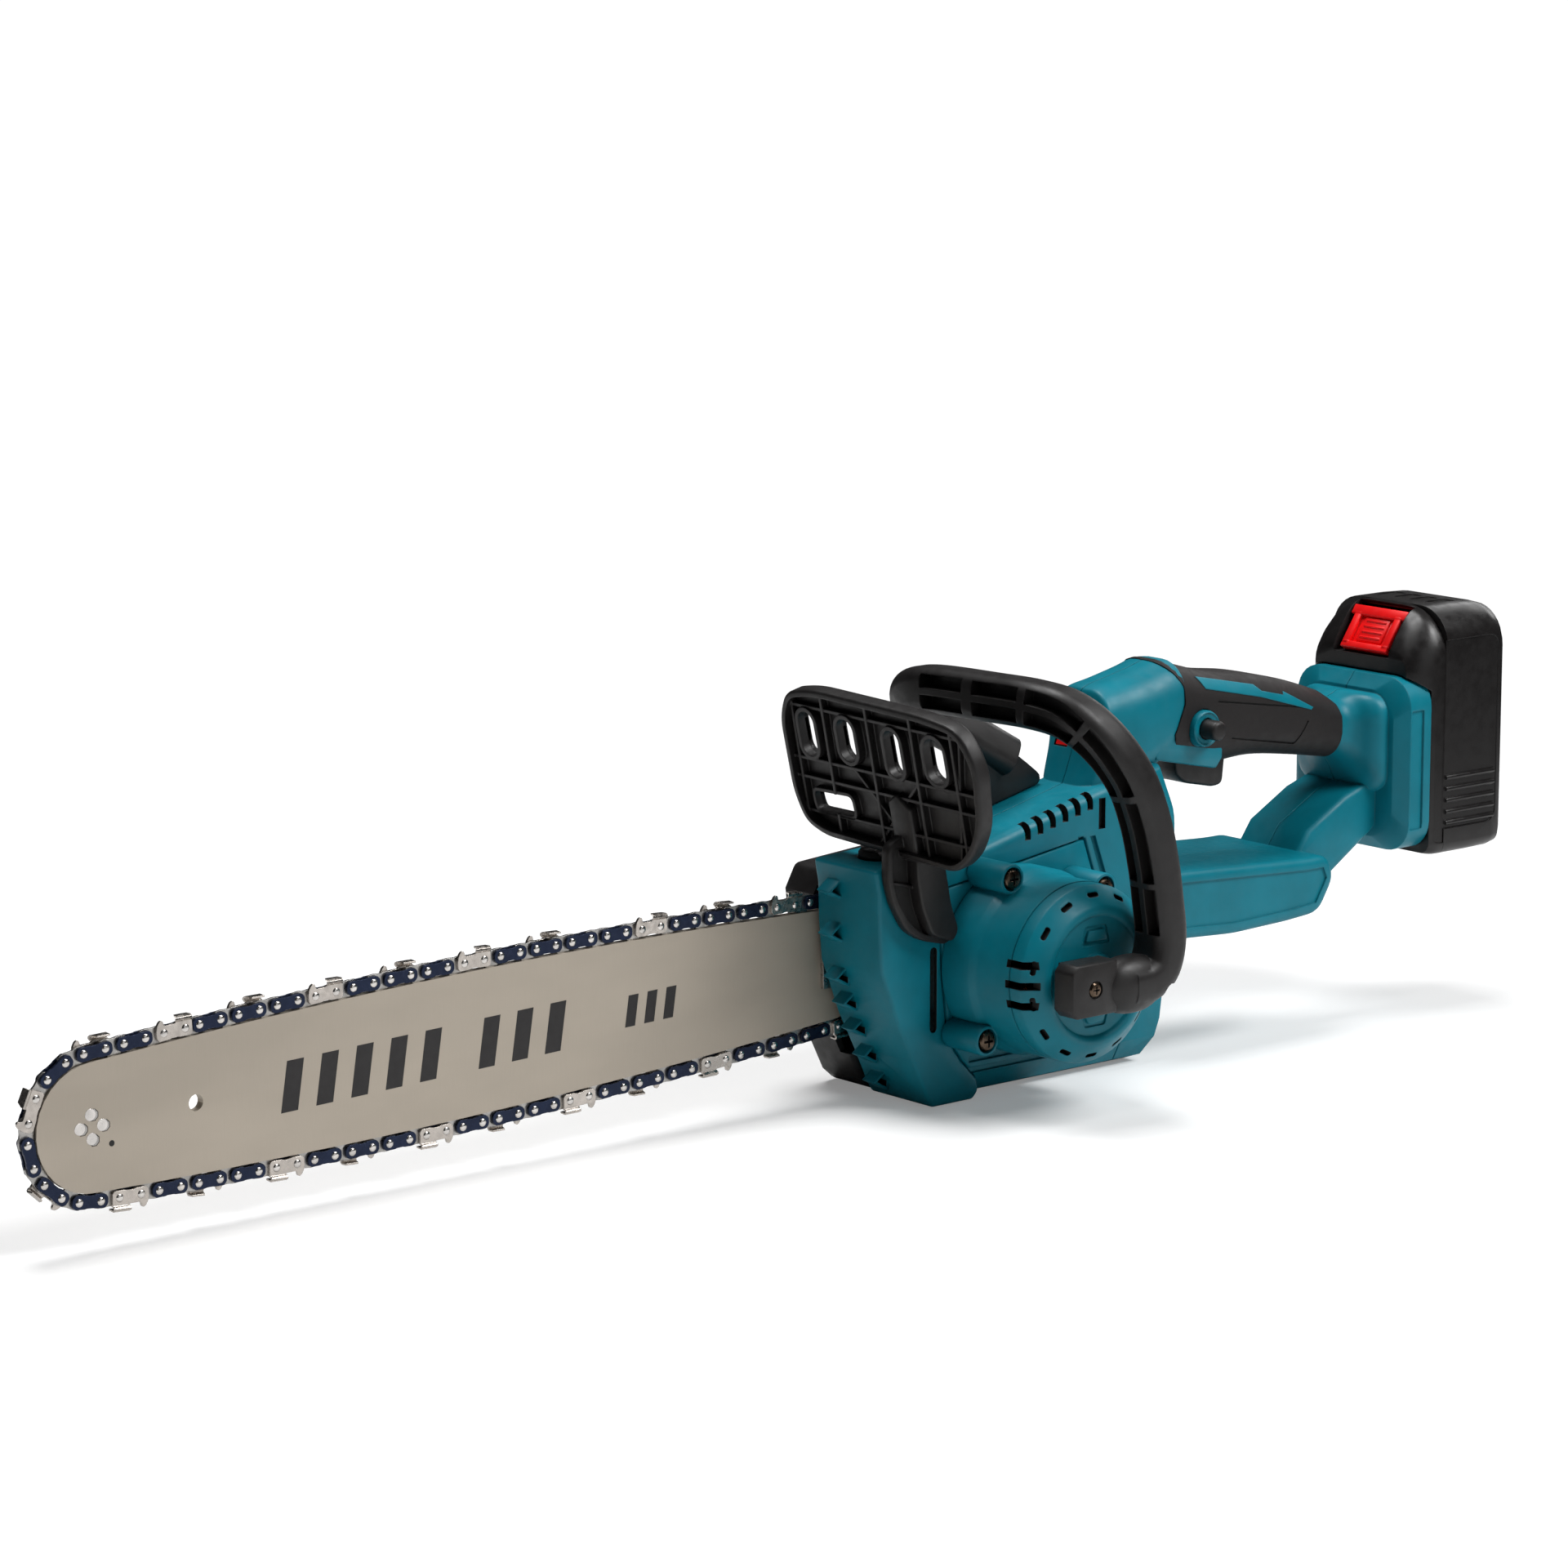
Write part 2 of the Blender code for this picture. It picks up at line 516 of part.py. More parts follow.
def pod():
    shell = [(37.8, -46.6), (42, -46.6), (42, -67), (40.3, -69), (40.3, -88), (37.8, -88)]
    pod_shell = turned("motor_pod", shell, TEAL, steps=30)
    cap = [(0, -103), (36, -103), (38.6, -101.8), (39.8, -99), (39.8, -88.4), (36.8, -88.4), (36.8, -100),
           (11, -100), (11, -92), (8.2, -92), (8.2, -99.2), (0, -99.2)]
    end_cap = turned("pod_end_cap", cap, TEAL, steps=30)
    for k, z in enumerate((AXLE_Z - 9, AXLE_Z, AXLE_Z + 9)):
        vent = (AXLE_X - 50, -97, z - 1.7), (AXLE_X - 33, -72, z + 1.7)
        cut(pod_shell, box(f"pod_vent_{k}", *vent))
        cut(end_cap, box(f"cap_vent_{k}", *vent))
    for k, angle in enumerate(SCREW_ANGLES):
        x, z = boss_place(angle)
        fuse(pod_shell, rod(f"boss_{k}", 6.6, -69.5, -46.6, x, z))
        step = [(0, -71), (5.2, -71), (5.2, -66.5), (2.9, -66.5), (2.9, -50), (0, -50)]
        cut(pod_shell, turned(f"boss_bore_{k}", step, None, (x, 0, z), "Y", 10))
    cut(pod_shell, turned("pod_bore", [(0, -95), (37.8, -95), (37.8, -40), (0, -40)], None, steps=30))
    for k, angle in enumerate(SCREW_ANGLES):
        x, z = boss_place(angle)
        head = [(0, -71), (3, -70.6), (4.8, -69), (4.8, -66.9), (2.5, -66.9), (2.5, -52), (0, -52)]
        turned(f"pod_screw_{k + 1}", head, STEEL, (x, 0, z), "Y", 10)


UPPER_OUTLINE = [(413.7, 48.2), (413.7, 62.5), (437, 64), (509, 81), (548, 88), (556, 70), (556, 30),
                 (548, -30), (540, FLOOR), (524.8, FLOOR), (516.9, 12), (499.8, 60.3)][::-1]
# sections of the riser and of the handle: X, height of the middle, half height, half width, corner radius
RISER_SECTIONS = [(506.8, 74, 4.5, 12, 4), (511, 79, 9.5, 16, 8), (516, 86.5, 17, 18, 10),
                  (518.5, 94.5, 25.5, 18.8, 12), (522, 97, 27, 19.3, 14), (534, 100.8, 25.8, 20, 16),
                  (550, 105.7, 24.5, 20.5, 17), (559, 109, 23.6, 20.5, 17), (565.6, 109.1, 23.2, 20.5, 16)]
GUARD_OUTLINE = [(545, 40), (632, 35), (646, 35), (651, 24), (641, 8), (620, 6.5), (585, 5.5), (545, 8)][::-1]
STRUT_OUTLINE = [(630, 20), (648, 44), (672, 57), (700, 66), (706, 50), (690, 38), (655, 16)][::-1]
CORE_SECTIONS = [(560, 108, 20, 18, 12), (590, 103, 18.6, 17.5, 12), (616, 101.5, 16.2, 16.5, 11),
                 (644, 96.5, 14.6, 15.5, 11), (674.4, 89, 11.9, 14.8, 10), (680, 86, 15.5, 17, 11),
                 (685, 80, 24, 26, 12), (696, 79, 27, 29, 14)]
SLEEVE_SECTIONS = [(566, 107.2, 22.8, 21.2, 14), (590, 103, 21.4, 20.7, 14), (616, 101.5, 19.2, 19.6, 13),
                   (644, 96.5, 17.6, 18.6, 13), (674, 89, 14.9, 17.8, 12)]
FOOT_HALF_W, FOOT_LOW, FOOT_HIGH = 37.0, 29.0, 112.0
FOOT_FRONT, FOOT_BACK = 692.0, 711.3
LENS_Y = -14.0                # middle of the red indicator
TRIGGER_PIVOT = (573.5, PARTING, 90.5)
LOCK_X, LOCK_Z = 576.0, 101.0
TRIGGER_SLOT = ((568.5, PARTING - 9.6, 66), (606, PARTING + 9.6, 96))


def section_ring(x, middle, half_h, half_w, radius, shrink=0.0):
    return [(x, PARTING + a, middle + b)
            for a, b in rounded_box(half_w - shrink, half_h - shrink, radius - shrink)]


def sections_solid(name, sections, shrink=0.0):
    return make(name, *loft([section_ring(*s, shrink) for s in sections]))


def foot_block(name, shrink, x0, x1):
    """The rounded block that the battery slides onto."""
    half_h, middle = (FOOT_HIGH - FOOT_LOW) / 2, (FOOT_HIGH + FOOT_LOW) / 2
    rings = []
    for x, extra in ((x0, 3.0), (x0 + 4, 0.0), (x1, 0.0)):
        section = rounded_box(FOOT_HALF_W - shrink - extra, half_h - shrink - extra, 14)
        rings.append([(x, PARTING + a, middle + b) for a, b in section])
    return make(name, *loft(rings))


def casing_tools():
    """The solids that both clamshell halves are made from, and the hollows inside them."""
    solids = [
        sections_solid("riser_solid", RISER_SECTIONS),
        sections_solid("core_solid", CORE_SECTIONS),
        foot_block("foot_solid", 0.0, FOOT_FRONT, FOOT_BACK),
        bevel(prism("guard_solid", rounded(GUARD_OUTLINE, 5, 2), PARTING - 35, PARTING + 35), 3, 2, 50),
        bevel(prism("strut_solid", STRUT_OUTLINE, PARTING - 20, PARTING + 20), 2, 1, 40),
    ]
    hollows = [
        prism("upper_hollow", [(437, 60.7), (509, 77.6), (551, 84), (552, 40), (545, -30), (544, -34),
                               (526, -34), (520, 14), (504, 63), (440, 54.5)][::-1], SIDE_L + WALL, SIDE_R - WALL),
        sections_solid("riser_hollow", RISER_SECTIONS[1:-1], 3.5),
        sections_solid("core_hollow", CORE_SECTIONS, 2.6),
        foot_block("foot_hollow", WALL, FOOT_FRONT + 4, FOOT_BACK - WALL),
        prism("guard_hollow", inset(GUARD_OUTLINE, 4), PARTING - 31, PARTING + 31),
        box("trigger_slot", *TRIGGER_SLOT),
        box("indicator_window", (505, LENS_Y - 4.5, 96), (530, LENS_Y + 4.5, 100.5)),
        box("terminal_window", (706, PARTING - 13, 62), (716, PARTING + 13, 98)),
        rod("trigger_pin_bore", 2.1, PARTING - 17, PARTING + 17, TRIGGER_PIVOT[0], TRIGGER_PIVOT[2], steps=12),
    ]
    return solids, hollows


def casings():
    solids, hollows = casing_tools()
    ring = [(0, -45.6), (7, -45.6), (8.4, -44.6), (8.4, -38), (0, -38)]
    lock_ring = turned("lock_ring", ring, None, (LOCK_X, 0, LOCK_Z))
    lock_bore = rod("lock_bore", 5.0, -50, -30, LOCK_X, LOCK_Z, steps=20)
    chamfer = underside_chamfer("upper_chamfer")
    for name, y0, y1 in (("housing_left", -120, PARTING - 0.15), ("housing_right", PARTING + 0.15, 60)):
        half = bevel(prism(name, UPPER_OUTLINE, SIDE_L, SIDE_R, TEAL), 1.5, 1, 40)
        fuse(half, *solids)
        if name == "housing_left":
            fuse(half, lock_ring)
            cut(half, lock_bore)
        cut(half, *hollows, chamfer)
        side = box(name + "_side", (400, y0, -60), (730, y1, 150))
        boolean(half, side, "INTERSECT")


def grip_sleeve():
    outer = [section_ring(*s) for s in SLEEVE_SECTIONS]
    inner = [section_ring(x, m, h - 2.6, w - 2.6, r - 2.4) for x, m, h, w, r in SLEEVE_SECTIONS]
    sleeve = make("grip_sleeve", *loft(outer + inner[::-1], True), RUBBER)
    cut(sleeve, rod("ring_hole", 9.2, -60, -30, LOCK_X, LOCK_Z, steps=24))
    under = [(560, 60), (560, 91.5), (607, 83.5), (607, 60)]
    cut(sleeve, prism("sleeve_underside", under[::-1], -60, 20), box("sleeve_slot", *TRIGGER_SLOT))
    return sleeve


# Handles and controls ----------------------------------------------------------------------------
HANDLE_ROUTE = [(445.8, HANDLE_Y, 13), (456, HANDLE_Y, 13), (468, HANDLE_Y, 13.5), (477, HANDLE_Y, 20),
                (478.5, HANDLE_Y, 32), (476.5, HANDLE_Y, 46), (473.5, HANDLE_Y, 63), (468, HANDLE_Y, 83),
                (459.5, -117, 102), (448, -112, 119), (438, -101, 130), (432.5, -85, 133.5), (431, -60, 133.5),
                (431, -25, 132.5), (432.5, -9, 130), (437.5, 0, 124), (446, 0, 116), (466, -5, 104),
                (484, -9, 93)]


def front_handle():
    handle = sweep("front_handle", HANDLE_ROUTE, 9.4, 10.6, 5.5, (0, 0, 1), BLACK)
    foot = [(468, 72), (506.6, 81), (506.6, 86), (497, 93), (484, 101), (468, 110), (462, 101)]
    fuse(handle, prism("handle_foot", foot, -17.5, -5))
    return handle


def handle_bracket():
    low, high = (420, HANDLE_Y - 5, 1), (445.5, -103.3, 25)
    bracket = bevel(box("handle_bracket", low, high, BLACK), 2.2, 1)
    cut(bracket, box("bracket_relief", (415, -110.5, -5), (429, -100, 30)))
    cut(bracket, rod("bracket_bore", 2.9, -130, -100, 434, 13, steps=12))
    head = [(0, HANDLE_Y - 6.4), (2.4, HANDLE_Y - 6.4), (4.2, HANDLE_Y - 5.3), (2.5, HANDLE_Y - 5.3),
            (2.5, -103.6), (0, -103.6)]
    turned("bracket_screw", head, STEEL, (434, 0, 13), "Y", 12)


GUARD_PIVOT = (404.0, 38.0)   # X and Z of the hand guard's pin
GUARD_LEAN = math.radians(13)
GUARD_THICK = 11.0


def guard_place(y, h, depth):
    """A point of the guard's panel: across, up the panel from its lower edge, and into it."""
    base_x, base_z = 391.0, 67.0
    x = base_x - h * math.sin(GUARD_LEAN) + depth * math.cos(GUARD_LEAN)
    return (x, y, base_z + h * math.cos(GUARD_LEAN) + depth * math.sin(GUARD_LEAN))


def guard_slab(name, outline, depths, mat=None, **kw):
    return make(name, *loft([[guard_place(y, h, d) for y, h in outline] for d in depths]), mat, **kw)


GUARD_OUTLINE_YH = [(-86, -1), (0, 3), (12, 8), (17, 22), (17, 57), (10, 70), (-8, 73), (-80, 70.5),
                    (-102, 67), (-111, 50), (-107, 22), (-98, 8)]
GUARD_SLOTS = ((1.2, 50.5, 5.2, 10.5), (-24.7, 51, 5.5, 10), (-55, 49, 5, 11), (-82, 49.5, 6.3, 10.5))
GUARD_LOW_SLOT = [(4, 14), (5, 18), (5, 23), (-20, 23.5), (-20.5, 14)]


def hand_guard():
    pivot = (GUARD_PIVOT[0], SIDE_L - 5, GUARD_PIVOT[1])
    edge = rounded(GUARD_OUTLINE_YH, 8, 2)
    panel = guard_slab("hand_guard", edge, (-GUARD_THICK / 2, GUARD_THICK / 2), BLACK, origin=pivot)
    cut(panel, guard_slab("guard_pocket", inset(edge, 3), (-12, 2.5)))
    for k, (y, h, half_w, half_h) in enumerate(GUARD_SLOTS):
        fuse(panel, guard_slab(f"guard_rim_{k}", stadium(y, h, half_w + 1.8, half_h + 1.8, 4), (0.8, 4)))
        cut(panel, guard_slab(f"guard_slot_{k}", stadium(y, h, half_w, half_h, 4), (-12, 12)))
    cut(panel, guard_slab("guard_slot_low", rounded(GUARD_LOW_SLOT, 3, 2), (-12, 12)))
    arm = [(377, 73), (377, 58), (380.5, 46), (388, 33.5), (397, 28), (412, 24.4), (416, 31), (411.5, 44),
           (408, 60), (404, 76), (394, 80)]
    fuse(panel, prism("guard_arm", arm, SIDE_L - 10, SIDE_L - 0.6))
    cut(panel, rod("guard_bore", 3.4, -70, -40, *GUARD_PIVOT, steps=16))
    rod("guard_pin", 3.0, SIDE_L - 9, SIDE_L - 0.4, *GUARD_PIVOT, STEEL, steps=16)
    box("brake_switch", (421.8, -42, 35), (428, -33, 42), BLACK)


def controls():
    outline = [(569.5, 94.5), (571.5, 78), (577, 73.5), (596, 69.5), (601.5, 70.5), (604, 93), (598, 95.5)]
    trigger = bevel(prism("trigger", rounded(outline, 3, 2), PARTING - 9, PARTING + 9, BLACK,
                          origin=TRIGGER_PIVOT), 1.5, 1, 50)
    cut(trigger, rod("trigger_bore", 2.1, -40, 0, TRIGGER_PIVOT[0], TRIGGER_PIVOT[2], steps=12))
    rod("trigger_pin", 1.8, PARTING - 13.2, PARTING + 13.2, TRIGGER_PIVOT[0], TRIGGER_PIVOT[2], STEEL, steps=12)
    box("switch_body", (584, PARTING - 8.5, 103.5), (604, PARTING + 8.5, 114), BLACK)
    spring = [(2.2, 96), (3.6, 96), (3.6, 103.1), (2.2, 103.1)]
    turned("trigger_spring", spring, STEEL, (594, PARTING, 0), "Z", 12)
    button = [(0, -54.5), (3, -54.5), (3.7, -53.8), (3.7, -37), (4.6, -37), (4.6, -35), (0, -35)]
    turned("lock_off_button", button, BLACK, (LOCK_X, 0, LOCK_Z), origin=(LOCK_X, -45, LOCK_Z))
    board = [(440, 56.4), (496, 64.2), (496, 67.2), (440, 59.4)]
    prism("controller_board", board[::-1], -40, -10, GREEN, smooth=False)
    lens = [(514.8, 96.4), (519.4, 96.4), (520.9, 100), (516.3, 100)]
    prism("indicator_lens", lens[::-1], LENS_Y - 4.1, LENS_Y + 4.1, RED, smooth=False)


# Battery -----------------------------------------------------------------------------------------
BAT_LOW, BAT_HIGH = 25.5, 25.5 + BATTERY_H
BAT_SPLIT, BAT_BACK = 721.0, 764.0
BAT_Y0, BAT_Y1 = PARTING - BATTERY_W / 2, PARTING + BATTERY_W / 2


def battery():
    # front half: the slide rail side below, and the head that overhangs the foot above
    side = [(BAT_SPLIT - 0.2, BAT_LOW), (BAT_SPLIT - 0.2, BAT_HIGH), (716, BAT_HIGH), (701, 122.5), (701, 108),
            (710, 108), (710, BAT_LOW)]
    front = bevel(prism("battery_case_front", side, BAT_Y0, BAT_Y1, BLACK), 3.5, 2, 40)
    cut(front, box("foot_clearance", (690, BAT_Y0 - 5, 20), (711.9, BAT_Y1 + 5, 112.8)),
        box("front_hollow", (714.5, BAT_Y0 + 4, 40), (725, BAT_Y1 - 4, 109)),
        box("head_hollow", (709, BAT_Y0 + 8, 115), (725, BAT_Y1 - 8, 131)),
        box("terminal_channel", (708, PARTING - 15, 20), (719, PARTING + 15, 102)),
        prism("button_recess", [(694, 119), (724, 119), (724, 139), (708, 150)][::-1],
              PARTING - 18, PARTING + 18))
    rings = []
    for x, shrink in ((BAT_SPLIT + 0.1, 0), (BAT_BACK - 9, 0), (BAT_BACK - 2.6, 2.6), (BAT_BACK, 9)):
        section = rounded_box(BATTERY_W / 2 - shrink, BATTERY_H / 2 - shrink, 9)
        rings.append([(x, PARTING + a, BAT_LOW + BATTERY_H / 2 + b) for a, b in section])
    rear = make("battery_case_rear", *loft(rings), BLACK)
    cut(rear, box("rear_hollow", (710, BAT_Y0 + 3, BAT_LOW + 3), (BAT_BACK - 2.5, BAT_Y1 - 3, BAT_HIGH - 3)))
    slope = [(702.2, 122), (715.2, 140.6), (717, 138), (717, 128), (712, 120), (703, 120)]
    prism("battery_release", slope[::-1], PARTING - 17.5, PARTING + 17.5, RED)
    turned("release_spring", [(1.6, 0), (3, 0), (3, 3.4), (1.6, 3.4)], STEEL, (721, PARTING, 126), "X", 12)
    box("terminal_block", (704, PARTING - 12.6, 62.4), (717.5, PARTING + 12.6, 97.6), BLACK)
    cell_r, step = 9.1, 18.1
    first_x, first_z = 732.5, 47.0
    right = [p for i in range(5) for p in arc(first_x + step, first_z + i * step, cell_r, -75, 75, 5)]
    left = [p for i in range(4, -1, -1) for p in arc(first_x, first_z + i * step, cell_r, 105, 255, 5)]
    prism("cell_pack", right + left, PARTING - 32.5, PARTING + 32.5, CELLS)


guide_bar()
nose_race()
nose_sprocket()
saw_chain()
bar_plate()
tensioner()
cover_nuts()
sprocket_cover()
chain_catcher()
drive_line()
nose()
gear_housing()
pod()
casings()
grip_sleeve()
front_handle()
handle_bracket()
hand_guard()
controls()
battery()
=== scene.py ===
"""Looks of the battery chainsaw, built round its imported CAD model.

Design points are in millimetres from the centre of the bar's nose sprocket: +X back to the battery,
+Y to the sprocket cover's side, +Z up. place() takes them to the frame, in metres. On the bar, u is the
distance back along it and v the distance up across it. Outlines are X and Z pairs unless a comment says
otherwise.
"""

import json
from math import atan2, copysign, cos, pi, radians, sin, sqrt

import bmesh
import bpy
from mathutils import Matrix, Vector


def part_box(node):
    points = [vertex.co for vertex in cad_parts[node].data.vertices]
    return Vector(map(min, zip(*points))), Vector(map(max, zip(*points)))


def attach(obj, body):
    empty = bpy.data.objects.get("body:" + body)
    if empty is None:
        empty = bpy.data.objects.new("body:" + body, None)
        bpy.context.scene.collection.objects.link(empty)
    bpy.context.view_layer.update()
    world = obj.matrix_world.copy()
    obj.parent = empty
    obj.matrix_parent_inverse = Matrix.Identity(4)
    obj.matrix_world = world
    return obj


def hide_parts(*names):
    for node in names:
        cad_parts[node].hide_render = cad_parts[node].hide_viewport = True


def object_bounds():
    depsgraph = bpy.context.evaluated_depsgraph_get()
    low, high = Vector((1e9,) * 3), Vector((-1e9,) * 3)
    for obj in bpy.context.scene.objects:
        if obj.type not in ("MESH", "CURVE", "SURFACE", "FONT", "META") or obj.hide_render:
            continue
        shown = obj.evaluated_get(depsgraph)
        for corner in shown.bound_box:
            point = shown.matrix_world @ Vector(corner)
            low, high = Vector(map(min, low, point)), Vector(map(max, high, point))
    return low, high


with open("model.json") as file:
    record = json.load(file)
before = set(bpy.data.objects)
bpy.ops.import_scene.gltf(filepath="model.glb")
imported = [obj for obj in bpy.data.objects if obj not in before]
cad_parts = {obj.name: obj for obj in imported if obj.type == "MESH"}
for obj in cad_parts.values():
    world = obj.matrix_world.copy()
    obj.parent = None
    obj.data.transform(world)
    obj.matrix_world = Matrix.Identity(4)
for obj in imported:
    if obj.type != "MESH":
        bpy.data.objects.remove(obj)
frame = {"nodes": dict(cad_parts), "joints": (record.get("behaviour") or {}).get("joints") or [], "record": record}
cad_low, cad_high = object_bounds()

MM = 0.001
JOINTS = {joint["name"]: joint for joint in frame["joints"]}
ORIGIN = Vector(JOINTS["nose_spin"]["pos_m"])
BODY = "saw_body"


def place(point):
    return ORIGIN + Vector(point) * MM


def design(point):
    """A frame point in design millimetres."""
    return (Vector(point) - ORIGIN) / MM


AXLE = design(JOINTS["motor_spin"]["pos_m"])
AXLE_X, AXLE_Z = AXLE.x, AXLE.z
PARTING = design(JOINTS["trigger_squeeze"]["pos_m"]).y
along_bar = Vector(JOINTS["bar_tension"]["axis"])
BAR_TILT = atan2(along_bar.z, along_bar.x)
SIDE = design(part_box("gear_housing")[0]).y        # the body's left wall
FLOOR_Z = design(cad_low).z


# Materials
def linear(red, green, blue):
    """Screen colour, 0 to 255, as linear light."""
    return tuple(c / 12.92 if c <= 0.04045 else ((c + 0.055) / 1.055) ** 2.4
                 for c in (red / 255, green / 255, blue / 255))


class Finish:
    """A procedural material under construction, on object coordinates in metres."""

    def __init__(self, name, colour, roughness, metallic=0.0, specular=0.5):
        self.material = bpy.data.materials.new(name)
        self.material.use_nodes = True
        self.nodes, self.links = self.material.node_tree.nodes, self.material.node_tree.links
        self.shader = self.nodes["Principled BSDF"]
        for socket, value in (("Base Color", (*colour, 1)), ("Roughness", roughness),
                              ("Metallic", metallic), ("Specular IOR Level", specular)):
            self.shader.inputs[socket].default_value = value
        self.material.diffuse_color = (*colour, 1)
        self.colour, self.roughness = colour, roughness
        self.coords = self.nodes.new("ShaderNodeTexCoord").outputs["Object"]
        self.normal = None

    def link(self, source, target):
        self.links.new(source, target)

    def noise(self, scale, detail=2.0, stretch=None):
        coords = self.coords
        if stretch:
            mapping = self.nodes.new("ShaderNodeMapping")
            mapping.inputs["Scale"].default_value = stretch
            self.link(coords, mapping.inputs["Vector"])
            coords = mapping.outputs["Vector"]
        node = self.nodes.new("ShaderNodeTexNoise")
        node.inputs["Scale"].default_value = scale
        node.inputs["Detail"].default_value = detail
        self.link(coords, node.inputs["Vector"])
        return node.outputs["Fac"]

    def ramp(self, value, low, high):
        """Maps a noise's usual values to the range low..high, which are both numbers or both colours."""
        node = self.nodes.new("ShaderNodeValToRGB")
        for element, position, colour in zip(node.color_ramp.elements, (0.35, 0.65), (low, high)):
            element.position = position
            element.color = (*colour, 1) if isinstance(colour, tuple) else (colour, colour, colour, 1)
        self.link(value, node.inputs["Fac"])
        return node.outputs["Color"]

    def vary_colour(self, scale, low, high, stretch=None):
        shades = [tuple(c * k for c in self.colour) for k in (low, high)]
        self.link(self.ramp(self.noise(scale, 3.0, stretch), *shades), self.shader.inputs["Base Color"])

    def vary_roughness(self, scale, spread, stretch=None):
        value = self.ramp(self.noise(scale, 3.0, stretch), self.roughness - spread, self.roughness + spread)
        self.link(value, self.shader.inputs["Roughness"])

    def round_edges(self, radius):
        node = self.nodes.new("ShaderNodeBevel")
        node.samples = 4
        node.inputs["Radius"].default_value = radius * MM
        self.normal = node.outputs["Normal"]

    def bump(self, height, distance, strength=0.5):
        node = self.nodes.new("ShaderNodeBump")
        node.inputs["Strength"].default_value = strength
        node.inputs["Distance"].default_value = distance * MM
        self.link(height, node.inputs["Height"])
        if self.normal:
            self.link(self.normal, node.inputs["Normal"])
        self.normal = node.outputs["Normal"]

    def done(self):
        if self.normal:
            self.link(self.normal, self.shader.inputs["Normal"])
        return self.material


def moulded(name, colour, roughness, grain, edge=0.7, specular=0.5):
    """Moulded plastic: spark-eroded grain, slight gloss and colour drift, softly rounded edges."""
    finish = Finish(name, colour, roughness, 0.0, specular)
    finish.vary_colour(60, 0.93, 1.07)
    finish.vary_roughness(220, 0.05)
    finish.round_edges(edge)
    finish.bump(finish.noise(2600, 3.0), 0.06, grain)
    finish.bump(finish.noise(45, 1.0), 0.25, 0.15)
    return finish.done()


def metal(name, colour, roughness, metallic=1.0):
    finish = Finish(name, colour, roughness, metallic)
    finish.vary_colour(150, 0.88, 1.08)
    finish.vary_roughness(400, 0.08)
    finish.round_edges(0.3)
    finish.bump(finish.noise(1500), 0.02, 0.3)
    return finish.done()


TEAL = moulded("teal_plastic", linear(1, 113, 130), 0.42, 0.35, 0.9, 0.28)
BLACK = moulded("black_plastic", linear(27, 25, 25), 0.46, 0.45, 0.8, 0.4)
BLACK_SMOOTH = moulded("battery_plastic", linear(20, 18, 18), 0.34, 0.06, 0.4, 0.4)
RUBBER = moulded("grip_rubber", linear(30, 27, 27), 0.6, 0.6, 0.6, 0.3)
RED = moulded("red_plastic", linear(240, 18, 20), 0.38, 0.1, 0.5, 0.35)
CLEAR = moulded("tank_plastic", linear(150, 150, 140), 0.35, 0.1, 0.4)
WINDOW_TINT = moulded("window_tint", linear(16, 15, 13), 0.2, 0.05, 0.3)
# Painted shade: the near-black finish that a cutter made without a material of its own leaves on the faces of the
# holes, slots, vents, grooves and hollows it cuts, standing in for the shade inside them.
PAINTED_SHADE = moulded("painted_shade_plastic", linear(14, 13, 13), 0.6, 0.2, 0.3)
BOARD = moulded("circuit_board", linear(20, 80, 40), 0.4, 0.1, 0.2)
CELLS = moulded("cell_sleeve", linear(30, 90, 160), 0.35, 0.1, 0.2)
BRIGHT = metal("bright_steel", linear(214, 210, 206), 0.22)
STEEL = metal("machined_steel", linear(170, 168, 165), 0.32)
CUTTER = metal("cutter_chrome", linear(190, 183, 176), 0.27)
BLUED = metal("blued_steel", linear(28, 38, 62), 0.34, 0.7)
BRONZE = metal("bronze_screw", linear(92, 78, 66), 0.28)
CAST = metal("cast_aluminium", linear(165, 166, 168), 0.45)
COPPER = metal("copper_winding", linear(180, 96, 50), 0.35)
INK = moulded("printed_ink", linear(28, 25, 26), 0.55, 0.1, 0.1)


def bar_finish():
    """Matte warm grey coat on the bar, finely brushed across, with faint smudges."""
    finish = Finish("bar_coat", linear(182, 172, 158), 0.5, 0.35, 0.4)
    finish.vary_colour(9, 0.93, 1.05, (1, 1, 3))
    finish.vary_roughness(90, 0.06, (40, 1, 1))
    finish.bump(finish.noise(900, 2.0, (6, 1, 0.15)), 0.015, 0.35)
    finish.bump(finish.noise(350, 3.0), 0.02, 0.25)
    return finish.done()


BAR_COAT = bar_finish()

SLOT_FINISH = dict(teal_plastic=TEAL, black_plastic=BLACK, grip_rubber=RUBBER, steel=STEEL,
                   bar_steel=BAR_COAT, chain_steel=BLUED, bronze_screw=BRONZE, cast_aluminium=CAST,
                   copper_winding=COPPER, red_plastic=RED, tank_plastic=CLEAR, circuit_board=BOARD,
                   cell_sleeve=CELLS)
for part in frame["record"]["subparts"]:
    mesh = frame["nodes"][part["node"]].data
    mesh.materials.clear()
    tinted = part["node"] == "oil_window"
    mesh.materials.append(WINDOW_TINT if tinted else SLOT_FINISH[part["material_slot"]])


# Mesh tools
def in_scene(name, data):
    """A new object in the scene."""
    obj = bpy.data.objects.new(name, data)
    bpy.context.scene.collection.objects.link(obj)
    return obj


def discard(*objects):
    for obj in objects:
        bpy.data.objects.remove(obj, do_unlink=True)


def smooth(obj, sharp=35):
    obj.data.shade_smooth()
    obj.data.set_sharp_from_angle(angle=radians(sharp))
    return obj


